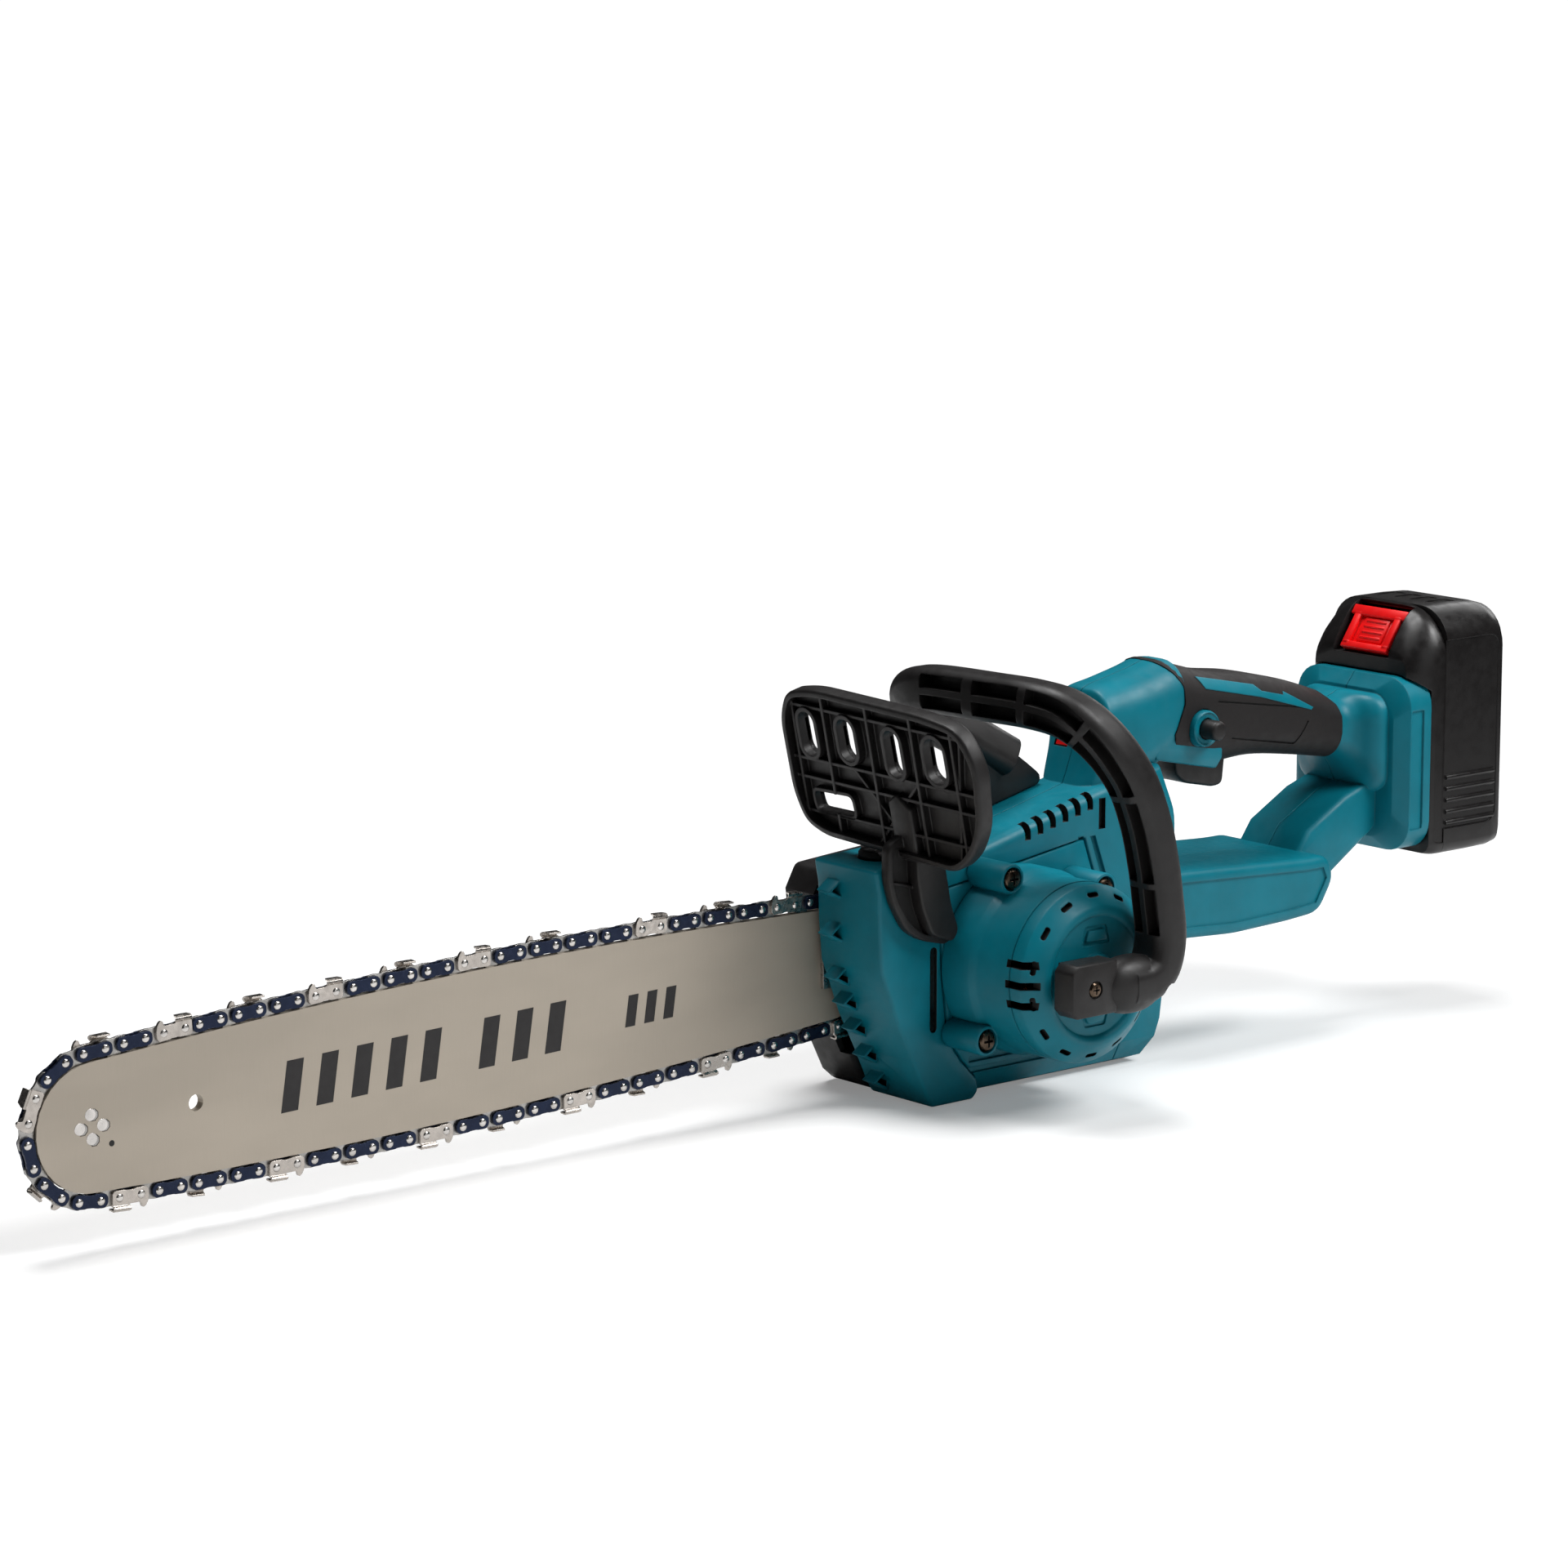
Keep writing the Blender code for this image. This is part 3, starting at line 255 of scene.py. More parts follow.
def solid(points, faces, mat=PAINTED_SHADE, sharp=35):
    """A mesh object through design points, faces turned outwards, smooth but for its sharp edges. Without a
    material given, it wears the near-black painted shade.
    """
    mesh = bpy.data.meshes.new("piece")
    mesh.from_pydata([place(p) for p in points], [], faces)
    work = bmesh.new()
    work.from_mesh(mesh)
    bmesh.ops.recalc_face_normals(work, faces=work.faces)
    work.to_mesh(mesh)
    work.free()
    mesh.materials.append(mat)
    return smooth(in_scene("piece", mesh), sharp)


def baked(obj, sharp=35):
    """The object's modifiers made part of its mesh."""
    depsgraph = bpy.context.evaluated_depsgraph_get()
    mesh = bpy.data.meshes.new_from_object(obj.evaluated_get(depsgraph))
    obj.modifiers.clear()
    obj.data = mesh
    return smooth(obj, sharp)


def joined(objects):
    """One object holding every object's mesh and materials."""
    work = bmesh.new()
    mats = []
    for obj in objects:
        start = len(work.faces)
        work.from_mesh(obj.data)
        work.faces.ensure_lookup_table()
        for face in work.faces[start:]:
            mat = obj.data.materials[face.material_index]
            if mat not in mats:
                mats.append(mat)
            face.material_index = mats.index(mat)
    discard(*objects)
    mesh = bpy.data.meshes.new("piece")
    work.to_mesh(mesh)
    work.free()
    for mat in mats:
        mesh.materials.append(mat)
    return in_scene("piece", mesh)


def carve(obj, *tools, operation="DIFFERENCE"):
    """Cuts the tools from obj and discards them. Each cut face wears its tool's material."""
    tool = joined(tools) if len(tools) > 1 else tools[0]
    mod = obj.modifiers.new("carve", "BOOLEAN")
    mod.operation, mod.object, mod.solver, mod.material_mode = operation, tool, "EXACT", "TRANSFER"
    baked(obj)
    discard(tool)
    return obj


def add(obj, tool):
    return carve(obj, tool, operation="UNION")


def keep(obj, tool):
    """Leaves of obj what lies inside the tool."""
    return carve(obj, tool, operation="INTERSECT")


def twin(obj):
    return in_scene(obj.name, obj.data.copy())


def soften(obj, width, segments=3, angle=40):
    """Rounds the object's edges with real geometry."""
    mod = obj.modifiers.new("bevel", "BEVEL")
    mod.width, mod.segments = width * MM, segments
    mod.limit_method, mod.angle_limit = "ANGLE", radians(angle)
    return baked(obj, 50)


def finished(obj, name, slot, *replaced, body=BODY):
    """Names a piece, gives it its body and hides the CAD nodes that it stands for. The slot is not used."""
    obj.name = obj.data.name = name
    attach(obj, body)
    if replaced:
        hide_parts(*replaced)


def loft(rings, closed=False):
    """Points and faces of a skin over rings of points, capped, or with the last ring tied to the first."""
    count = len(rings[0])
    points = [p for ring in rings for p in ring]
    faces = []
    for i in range(len(rings) if closed else len(rings) - 1):
        a, b = i * count, (i + 1) % len(rings) * count
        faces += [(a + j, a + (j + 1) % count, b + (j + 1) % count, b + j) for j in range(count)]
    if not closed:
        faces += [tuple(range(count)), tuple(range(len(points) - count, len(points)))]
    return points, faces


def prism(outline, y0, y1, mat=PAINTED_SHADE):
    """An XZ outline extruded along Y."""
    return solid(*loft([[(x, y, z) for x, z in outline] for y in (y0, y1)]), mat)


def rectangle(x0, z0, x1, z1):
    return [(x0, z0), (x1, z0), (x1, z1), (x0, z1)]


def block(low, high, mat=PAINTED_SHADE):
    return prism(rectangle(low[0], low[2], high[0], high[2]), low[1], high[1], mat)


def centred(outline, half_w, mat=PAINTED_SHADE):
    """An XZ outline that reaches as far to the left of the parting plane as to its right."""
    return prism(outline, PARTING - half_w, PARTING + half_w, mat)


def turned(profile, mat=PAINTED_SHADE, centre=(0, 0, 0), axis="Y", steps=32):
    """A closed profile of (radius, distance along the axis) turned about an axis."""
    closed = profile[0][0] > 0
    rings = []
    for radius, along in profile if closed else profile[1:-1]:
        ring = []
        for k in range(steps):
            a = 2 * pi * k / steps
            c, s = radius * cos(a), radius * sin(a)
            offset = {"Y": (c, along, s), "Z": (c, s, along), "X": (along, c, s)}[axis]
            ring.append(tuple(Vector(centre) + Vector(offset)))
        rings.append(ring)
    return solid(*loft(rings, closed), mat)


def rod(radius, y0, y1, x, z, mat=PAINTED_SHADE, steps=24):
    return turned([(0, y0), (radius, y0), (radius, y1), (0, y1)], mat, (x, 0, z), "Y", steps)


def arc(cx, cz, radius, start, end, steps):
    angles = [radians(start + (end - start) * k / steps) for k in range(steps + 1)]
    return [(cx + radius * cos(a), cz + radius * sin(a)) for a in angles]


def rounded(outline, radius, steps=4):
    """The outline with each corner cut back and rounded."""
    result = []
    for k, here in enumerate(outline):
        here = Vector(here)
        before = Vector(outline[k - 1]) - here
        after = Vector(outline[(k + 1) % len(outline)]) - here
        reach = min(radius, before.length * 0.45, after.length * 0.45)
        start, end = here + before.normalized() * reach, here + after.normalized() * reach
        for s in range(steps + 1):
            t = s / steps
            result.append(tuple(start * (1 - t) ** 2 + here * 2 * t * (1 - t) + end * t ** 2))
    return result


def inset(outline, distance):
    """An outline moved inwards; it runs counter-clockwise."""
    result = []
    for k, here in enumerate(outline):
        here = Vector(here)
        before = (here - Vector(outline[k - 1])).normalized()
        after = (Vector(outline[(k + 1) % len(outline)]) - here).normalized()
        n1, n2 = Vector((-before.y, before.x)), Vector((-after.y, after.x))
        bisector = (n1 + n2).normalized()
        result.append(tuple(here + bisector * distance / max(0.3, bisector.dot(n1))))
    return result


def stadium(cx, cz, half_x, half_z, steps=8):
    """The outline of an upright slot."""
    reach = half_z - half_x
    return arc(cx, cz + reach, half_x, 0, 180, steps) + arc(cx, cz - reach, half_x, 180, 360, steps)


def bar_point(u, v):
    c, s = cos(BAR_TILT), sin(BAR_TILT)
    return (u * c - v * s, u * s + v * c)


# Camera, stage and lights
CAMERA_PLACE = (-1114.7, -1743.6, 524.1)
CAMERA_AZIMUTH, CAMERA_PITCH = radians(-40.25), radians(10.64)
SENSOR, LENS = 36, 121.875
SHOWN, LIT = 1.05, 0.035      # strength of the surroundings to the camera, and as light
FLOOR_SIZE, FLOOR_GAP = 6.0, 0.0004
FADE_START, FADE_END = 0.55, 1.1   # metres from the saw where the floor paper turns clear
PAPER_LIFT = 0.22
LIGHTS = (("key", (0.9, -1.15, 1.6), 1.1, 38), ("top", (0.0, 0.4, 2.0), 1.2, 36),
          ("fill", (0.1, -2.0, 0.6), 1.4, 3), ("rim", (1.9, 0.6, 0.8), 1.0, 6))   # offset, size, watts


def camera():
    """The photograph's view: from the left front, a little above the saw."""
    data = bpy.data.cameras.new("camera")
    data.sensor_width, data.lens = SENSOR, LENS
    data.clip_start, data.clip_end = 0.05, 50
    obj = in_scene("camera", data)
    obj.location = place(CAMERA_PLACE)
    obj.rotation_euler = (pi / 2 - CAMERA_PITCH, 0, CAMERA_AZIMUTH)
    bpy.context.scene.camera = obj


def soft_boxes():
    for name, offset, size, power in LIGHTS:
        data = bpy.data.lights.new(name, "AREA")
        data.shape, data.size, data.energy = "DISK", size, power
        obj = in_scene(name, data)
        obj.location = (cad_low + cad_high) / 2 + Vector(offset)
        obj.rotation_euler = (-Vector(offset)).to_track_quat("-Z", "Y").to_euler()


def floor_paper():
    """White paper that fades into the white surroundings away from the saw."""
    paper = Finish("floor_paper", (0.8, 0.8, 0.8), 0.8, 0.0, 0.1)
    paper.vary_colour(3, 0.99, 1.01)
    distance = paper.nodes.new("ShaderNodeVectorMath")
    distance.operation = "LENGTH"
    paper.link(paper.coords, distance.inputs[0])
    fade = paper.nodes.new("ShaderNodeMapRange")
    fade.inputs["From Min"].default_value, fade.inputs["From Max"].default_value = FADE_START, FADE_END
    paper.link(distance.outputs["Value"], fade.inputs["Value"])
    ray = paper.nodes.new("ShaderNodeLightPath")
    lift = paper.nodes.new("ShaderNodeMath")
    lift.operation = "MULTIPLY"
    lift.inputs[1].default_value = PAPER_LIFT
    paper.link(ray.outputs["Is Camera Ray"], lift.inputs[0])
    paper.shader.inputs["Emission Color"].default_value = (1, 1, 1, 1)
    paper.link(lift.outputs["Value"], paper.shader.inputs["Emission Strength"])
    clear, mix = paper.nodes.new("ShaderNodeBsdfTransparent"), paper.nodes.new("ShaderNodeMixShader")
    paper.link(fade.outputs["Result"], mix.inputs["Fac"])
    paper.link(paper.shader.outputs[0], mix.inputs[1])
    paper.link(clear.outputs[0], mix.inputs[2])
    paper.link(mix.outputs[0], paper.nodes["Material Output"].inputs["Surface"])
    return paper.done()


def stage():
    """White floor and surroundings that light the saw less than they show."""
    world = bpy.data.worlds.new("studio")
    bpy.context.scene.world = world
    world.use_nodes = True
    nodes, links = world.node_tree.nodes, world.node_tree.links
    seen, lit = nodes["Background"], nodes.new("ShaderNodeBackground")
    seen.inputs["Color"].default_value, seen.inputs["Strength"].default_value = (1, 1, 1, 1), SHOWN
    lit.inputs["Color"].default_value, lit.inputs["Strength"].default_value = (0.95, 0.97, 1, 1), LIT
    mix, path = nodes.new("ShaderNodeMixShader"), nodes.new("ShaderNodeLightPath")
    links.new(path.outputs["Is Camera Ray"], mix.inputs["Fac"])
    links.new(lit.outputs[0], mix.inputs[1])
    links.new(seen.outputs[0], mix.inputs[2])
    links.new(mix.outputs[0], nodes["World Output"].inputs["Surface"])

    mesh = bpy.data.meshes.new("floor")
    corners = rectangle(-FLOOR_SIZE, -FLOOR_SIZE, FLOOR_SIZE, FLOOR_SIZE)
    mesh.from_pydata([(x, y, 0) for x, y in corners], [], [(0, 1, 2, 3)])
    mesh.materials.append(floor_paper())
    floor = in_scene("floor", mesh)
    floor.location.z = cad_low.z - FLOOR_GAP

    bpy.context.scene.view_settings.view_transform = "Standard"


camera()
stage()
soft_boxes()


# Chain
NOSE_RIVET_R = 30.74          # of the rivets' circle round the nose
DRIVE_U, DRIVE_RIVET_R = 455.0, 18.2
STRAP_SPAN, TANG_SPAN = 10.28, 8.77   # rivet to rivet in a strap, and in a drive link
LINK_COUNT = 56
FIRST_RIVET_U = 52.5          # of the strap pair that the count starts from
STRAP_INNER, STRAP_OUTER = 0.72, 1.95  # Y of a strap's two faces
DRIVE_HALF_T = 0.6            # half a drive link's thickness
LAST_REGULAR = 10             # strap pairs from here rearwards are one pair out of step


def rivet_half_height(u):
    """Half the distance between the chain's upper and lower rivet lines."""
    t = u / 200
    return NOSE_RIVET_R + 9.0 * t - 3.77 * t ** 2 - 1.30 * t ** 3 + 0.337 * t ** 4


def rivet_line():
    """The chain's closed path in u and v: back along the top, round the drive sprocket, forward
    below, and round the nose."""
    top = [(u, rivet_half_height(u)) for u in range(0, 401, 4)]
    drive = arc(DRIVE_U, 0, DRIVE_RIVET_R, 79.5, -79.5, 40)
    ramp = [tuple(Vector(top[-1]).lerp(Vector(drive[0]), k / 12)) for k in range(1, 12)]
    upper = top + ramp
    nose = arc(0, 0, NOSE_RIVET_R, 270, 90, 60)[1:-1]
    return [Vector(p) for p in upper + drive + [(u, -v) for u, v in upper[::-1]] + nose]


def walk(path, start, spans):
    """Points a given straight distance apart along the closed path, from start."""
    segment = min(range(len(path)), key=lambda i: (path[i] - start).length)
    here, result = start, [start]
    for span in spans:
        while True:
            a, b = path[segment % len(path)], path[(segment + 1) % len(path)]
            if (b - here).length >= span:
                edge, rel = b - a, a - here
                qa, qb, qc = edge.dot(edge), 2 * rel.dot(edge), rel.dot(rel) - span ** 2
                root = qb * qb - 4 * qa * qc
                t = (-qb + sqrt(root)) / (2 * qa) if root >= 0 else -1
                if 0 <= t <= 1:
                    here = a.lerp(b, t)
                    break
            segment += 1
        result.append(here)
    return result


def strap_kind(k):
    """What the strap pair k is: a cutter on the near side, on the far side, or neither."""
    step = k if k <= LAST_REGULAR else k - 1
    return {3: "near", 1: "far"}.get(step % 4)


def in_link(a, b, x, n):
    """The place of a point x along and n outside a link whose rivets are at a and b."""
    forward = (b - a).normalized()
    middle, outward = (a + b) / 2, Vector((-forward.y, forward.x))
    point = middle + forward * x + outward * n
    return bar_point(point.x, point.y)


STRAP = rounded([(-8.4, -1.6), (-6.9, -3.1), (-2.6, -3.1), (-1.6, -2.7), (1.6, -2.7), (2.6, -3.1),
                 (6.9, -3.1), (8.4, -1.6), (8.4, 1.3), (7.0, 2.75), (2.4, 2.75), (1.6, 2.5), (-1.6, 2.5),
                 (-2.4, 2.75), (-7.0, 2.75), (-8.4, 1.3)], 0.7, 2)
CUTTER_BASE = rounded([(-8.5, -2.0), (-7.5, -3.1), (-2.5, -3.0), (-1.2, -2.6), (1.2, -2.6), (2.5, -3.0),
                       (7.6, -3.1), (8.5, -2.2), (8.45, 3.6), (0.9, 3.6), (0.3, 3.0), (-4.3, 3.0),
                       (-5.0, 3.5), (-5.3, 5.0), (-6.1, 5.5), (-7.2, 4.9), (-8.3, 3.2),
                       (-8.7, 1.0)], 0.5, 2)
TOP_PLATE = [(-1.3, 3.2), (-2.2, 3.5), (-2.9, 4.4), (-2.75, 5.3), (-1.9, 5.95), (1.4, 5.75),
             (1.4, 5.0), (-1.6, 5.2), (-2.0, 4.9), (-2.05, 4.4), (-1.6, 4.1), (-0.9, 3.9)]
DRIVE_LINK = rounded([(-6.7, -2.6), (-3.0, -3.3), (-2.2, -5.6), (-0.4, -8.2), (1.6, -8.0), (2.6, -5.4),
                      (3.4, -3.3), (6.7, -2.6), (7.3, 0.4), (6.2, 3.1), (3.0, 3.4), (0, 3.0), (-3.0, 3.4),
                      (-6.2, 3.1), (-7.3, 0.4)], 0.8, 2)


def plate(a, b, outline, y0, y1, mat):
    return prism([in_link(a, b, x, n) for x, n in outline], y0, y1, mat)


def cutter(a, b, side):
    """Side plate with its depth gauge, and the top plate that curls over the chain."""
    base = plate(a, b, CUTTER_BASE, side * STRAP_INNER, side * STRAP_OUTER, CUTTER)
    rings = []
    for x, skew in ((0.1, 1), (8.2, 0)):
        ring = []
        for y, n in TOP_PLATE:
            px, pz = in_link(a, b, x + skew * 0.45 * (y + 2.9), n - (0.35 if not skew else 0))
            ring.append((px, -side * y, pz))
        rings.append(ring)
    return [base, solid(*loft(rings), CUTTER)]


def rivet(point):
    """Domed rivet heads on both sides of the chain."""
    x, z = bar_point(point.x, point.y)
    face = STRAP_OUTER - 0.1
    dome = [(0, -face - 0.75), (0.7, -face - 0.72), (1.35, -face - 0.55), (1.8, -face - 0.2), (1.85, -face)]
    profile = dome + [(r, -y) for r, y in dome[::-1]]
    return turned(profile, BRIGHT, (x, 0, z), "Y", 12)


def chain():
    path = rivet_line()
    start = Vector((FIRST_RIVET_U, rivet_half_height(FIRST_RIVET_U)))
    rivets = walk(path, start, [STRAP_SPAN, TANG_SPAN] * LINK_COUNT)[:2 * LINK_COUNT]
    straps, cutters, links, heads = [], [], [], []
    for k in range(LINK_COUNT):
        a, b = rivets[2 * k], rivets[2 * k + 1]
        index = k if k < LINK_COUNT // 2 - 2 else k - LINK_COUNT
        kind = strap_kind(index)
        for side, name in ((-1, "near"), (1, "far")):
            if kind == name:
                cutters += cutter(a, b, side)
            else:
                straps.append(plate(a, b, STRAP, side * STRAP_INNER, side * STRAP_OUTER, BLUED))
        following = rivets[(2 * k + 2) % (2 * LINK_COUNT)]
        links.append(plate(b, following, DRIVE_LINK, -DRIVE_HALF_T, DRIVE_HALF_T, STEEL))
        heads += [rivet(a), rivet(b)]
    for name, objects, sharp in (("chain_straps", straps, 30), ("chain_cutters", cutters, 35),
                                 ("chain_drive_links", links, 30), ("chain_rivets", heads, 50)):
        replaced = ["saw_chain"] if objects is straps else []
        finished(smooth(joined(objects), sharp), name, "chain_steel", *replaced)


chain()


# Bar
BAR_FACE = design(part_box("guide_bar")[0]).y
NOSE_RIVETS = ((-1.3, 5.5), (4.1, 0.4), (-6.5, 0.5), (-1.1, -4.5))   # U and V
FIRST_MARK, MARK_STEP, MARK_BREAK = 90, 17.6, 13   # the break comes after the fifth mark
SMALL_MARKS = (270, 280.5, 291)


def on_bar(outline, depth, mat):
    points = [bar_point(u, v) for u, v in outline]
    return prism(points, BAR_FACE - depth, BAR_FACE + 0.05, mat)


def bar_details():
    """Flush nose rivets, the grease hole, and a plain printed row of slanted bars."""
    rivets = [on_bar(arc(u, v, 2.55, 0, 360, 24)[:-1], 0.06, BRIGHT) for u, v in NOSE_RIVETS]
    finished(joined(rivets), "nose_rivets", "steel", body="bar")
    # The grease hole is a flat near-black disc: painted shade standing in for the hole's dark inside.
    hole = on_bar(arc(8.1, -8.0, 1.3, 0, 360, 16)[:-1], 0.05, PAINTED_SHADE)
    finished(hole, "grease_hole", "bar_steel", body="bar")
    marks = []
    for k in range(8):
        u = FIRST_MARK + k * MARK_STEP + (MARK_BREAK if k > 4 else 0)
        marks.append([(u, -11.5), (u + 8.5, -11.5), (u + 12.5, 10), (u + 4, 10)])
    for u in SMALL_MARKS:
        marks.append([(u, -7.8), (u + 5.5, -7.8), (u + 8, 6), (u + 2.5, 6)])
    printed = [on_bar(mark, 0.03, INK) for mark in marks]
    finished(joined(printed), "bar_print", "bar_steel", body="bar")


bar_details()


# Shapes shared by the body pieces
def spline(points, steps):
    """More points on a smooth curve through the given ones, which may have any number of values."""
    p = [Vector(q) for q in points]
    p = [p[0] * 2 - p[1]] + p + [p[-1] * 2 - p[-2]]
    result = []
    for a, b, c, d in zip(p, p[1:], p[2:], p[3:]):
        for k in range(steps):
            t = k / steps
            square, cube = a * 2 - b * 5 + c * 4 - d, b * 3 - a - c * 3 + d
            result.append(b + ((c - a) + (square + cube * t) * t) * t * 0.5)
    return result + [p[-2]]


def rounded_box(half_w, half_h, radius, steps=7):
    result = []
    for sx, sz, start in ((1, 1, 0), (-1, 1, 90), (-1, -1, 180), (1, -1, 270)):
        result += arc(sx * (half_w - radius), sz * (half_h - radius), radius, start, start + 90, steps)
    return result


def along_x(sections, mat=PAINTED_SHADE, shrink=0.0):
    """A solid through upright rounded boxes: X, height of the middle, half height, half width, radius."""
    rings = []
    for x, middle, half_h, half_w, radius in spline(sections, 5):
        section = rounded_box(half_w - shrink, half_h - shrink, max(0.5, radius - shrink))
        rings.append([(x, PARTING + a, middle + b) for a, b in section])
    return solid(*loft(rings), mat)


def facing(path, forward):
    """For each point of a path: the point, and the directions across the path and towards forward."""
    path, forward = [Vector(p) for p in path], Vector(forward)
    result = []
    for i, point in enumerate(path):
        tangent = (path[min(i + 1, len(path) - 1)] - path[max(i - 1, 0)]).normalized()
        up = forward - tangent * forward.dot(tangent)
        if up.length < 0.2:
            up = Vector((0, 0, 1)) - tangent * tangent.z
        result.append((point, tangent.cross(up.normalized()), up.normalized()))
    return result


def sweep(frames, section, mat):
    """A section of (across, up) pairs carried along a path's frames."""
    rings = [[tuple(p + across * a + up * b) for a, b in section] for p, across, up in frames]
    return solid(*loft(rings), mat)


def ball(centre, radii, mat, fullness):
    """An ellipsoid with its poles along Y, squarer as fullness falls below 1."""
    profile = [(sin(pi * k / 16), -cos(pi * k / 16)) for k in range(17)]
    shape = turned(profile, mat, steps=32)
    for vertex in shape.data.vertices:
        p = design(vertex.co)
        full = [copysign(abs(v) ** fullness, v) for v in p]
        vertex.co = place([c + r * v for c, r, v in zip(centre, radii, full)])
    return shape


def pan_head(centre, radius, height, mat):
    """A pan head screw that faces -Y, with a cross recess, its head's underside at the centre."""
    dome = [(radius, 0), (radius, -height * 0.45), (radius * 0.8, -height * 0.85), (radius * 0.4, -height)]
    head = turned([(0, 0)] + dome + [(0, -height)], mat, centre, "Y", 28)
    x, y, z = centre
    reach, half = radius * 0.55, radius * 0.11
    # The cross recess's faces wear the near-black painted shade.
    cross = [block((x - a, y - height * 2, z - b), (x + a, y - height * 0.35, z + b))
             for a, b in ((reach, half), (half, reach))]
    return carve(head, add(*cross))


# Front handle
HANDLE_Y = -116.7
UPRIGHT = [(455.5, 11.2), (461, 11.2), (468, 12), (475.5, 17.5), (478.5, 30), (476.5, 46), (473.5, 63),
           (468, 83)]
OVERHEAD = [(459.5, -116, 102), (448, -111, 119), (438, -101, 130), (432.5, -85, 133.5), (431, -60, 133.5),
            (431, -25, 132.5), (432.5, -9, 130), (437.5, 0, 124), (446, 0, 116), (466, -5, 104),
            (484, -9, 93)]
HANDLE_ROUTE = [(x, HANDLE_Y, z) for x, z in UPRIGHT] + OVERHEAD   # the tube's middle, from its elbow
TUBE_HALF_W, TUBE_HALF_D = 10.6, 9.3
HANDLE_STEPS = 6              # path points in each span of the route
POCKET_SPANS = ((25, 33), (34, 46), (47, 57), (58, 66), (67, 73), (74, 79))   # by path point


def front_handle():
    frames = facing(spline(HANDLE_ROUTE, HANDLE_STEPS), (-1, 0, 0))
    handle = sweep(frames, rounded_box(TUBE_HALF_W, TUBE_HALF_D, 6.5), BLACK)
    foot = [(468, 72), (503, 80), (503, 84.5), (495, 90.5), (483, 99), (467, 110), (461, 101)]
    foot = soften(prism(foot, -13.5, -3, BLACK), 2, 2)
    add(handle, foot)
    add(handle, ball((459, HANDLE_Y, 11.3), (18, 10.55, 13.0), BLACK, 0.9))
    cutters = []
    for first, last in POCKET_SPANS:
        for side in (-4.6, 4.6):
            section = [(a + side, b + TUBE_HALF_D) for a, b in rounded_box(3.1, 7.0, 1.6, 3)]
            cutters.append(sweep(frames[first:last + 1], section, BLACK))
    # This hole's faces wear the near-black painted shade.
    cutters.append(rod(4.2, HANDLE_Y - 30, HANDLE_Y - 3, 477, 6.5))
    carve(handle, *cutters)
    finished(handle, "front_handle_grip", "black_plastic", "front_handle")


def handle_bracket():
    outline = [(420.5, 4.5), (423.5, 1.2), (447, 1.2), (447, 24.8), (423.5, 24.8), (420.5, 21.5)]
    bracket = soften(prism(outline, -122.8, -110.5, BLACK), 1.0, 2)
    neck = [(430, 3), (447, 3), (447, 22.5), (430, 22.5)]
    add(bracket, prism(neck, -114, -103.3, BLACK))
    # The screw hole's faces wear the near-black painted shade.
    carve(bracket, rod(4.0, -130, -121.6, 434, 13))
    finished(bracket, "bracket", "black_plastic", "handle_bracket")
    screw = pan_head((434, -121.6, 13), 3.3, 1.8, BRONZE)
    finished(screw, "bracket_screw_head", "bronze_screw", "bracket_screw")


front_handle()
handle_bracket()


# Hand guard
GUARD_LEAN = radians(13)
GUARD_BASE = (391.0, 67.0)
GUARD_OUTLINE = [(-86, -1), (0, 3), (12, 8), (17, 22), (17, 57), (10, 70), (-8, 73), (-80, 70.5),
                 (-102, 67), (-111, 50), (-107, 22), (-98, 8)]
GUARD_SLOTS = ((1.2, 50.5, 5.2, 10.5), (-24.7, 51, 5.5, 10), (-55, 49, 5, 11), (-82, 49.5, 6.3, 10.5))
GUARD_LOW_SLOT = [(4, 14), (5, 18), (5, 23), (-20, 23.5), (-20.5, 14)]
GUARD_FRONT, GUARD_BACK, WEB_FRONT = -5.5, 2.6, 0.4   # depths into the panel


def guard_slab(outline, depths):
    """An outline across and up the guard's leaning panel, between depths into it."""
    s, c = sin(GUARD_LEAN), cos(GUARD_LEAN)
    x, z = GUARD_BASE
    rings = [[(x - h * s + depth * c, y, z + h * c + depth * s) for y, h in outline] for depth in depths]
    return solid(*loft(rings), BLACK)


def stroke(start, end, half_width):
    """The outline of a straight line of a given thickness."""
    a, b = Vector(start), Vector(end)
    side = (b - a).normalized().orthogonal() * half_width
    return [tuple(p) for p in (a + side, a - side, b - side, b + side)]


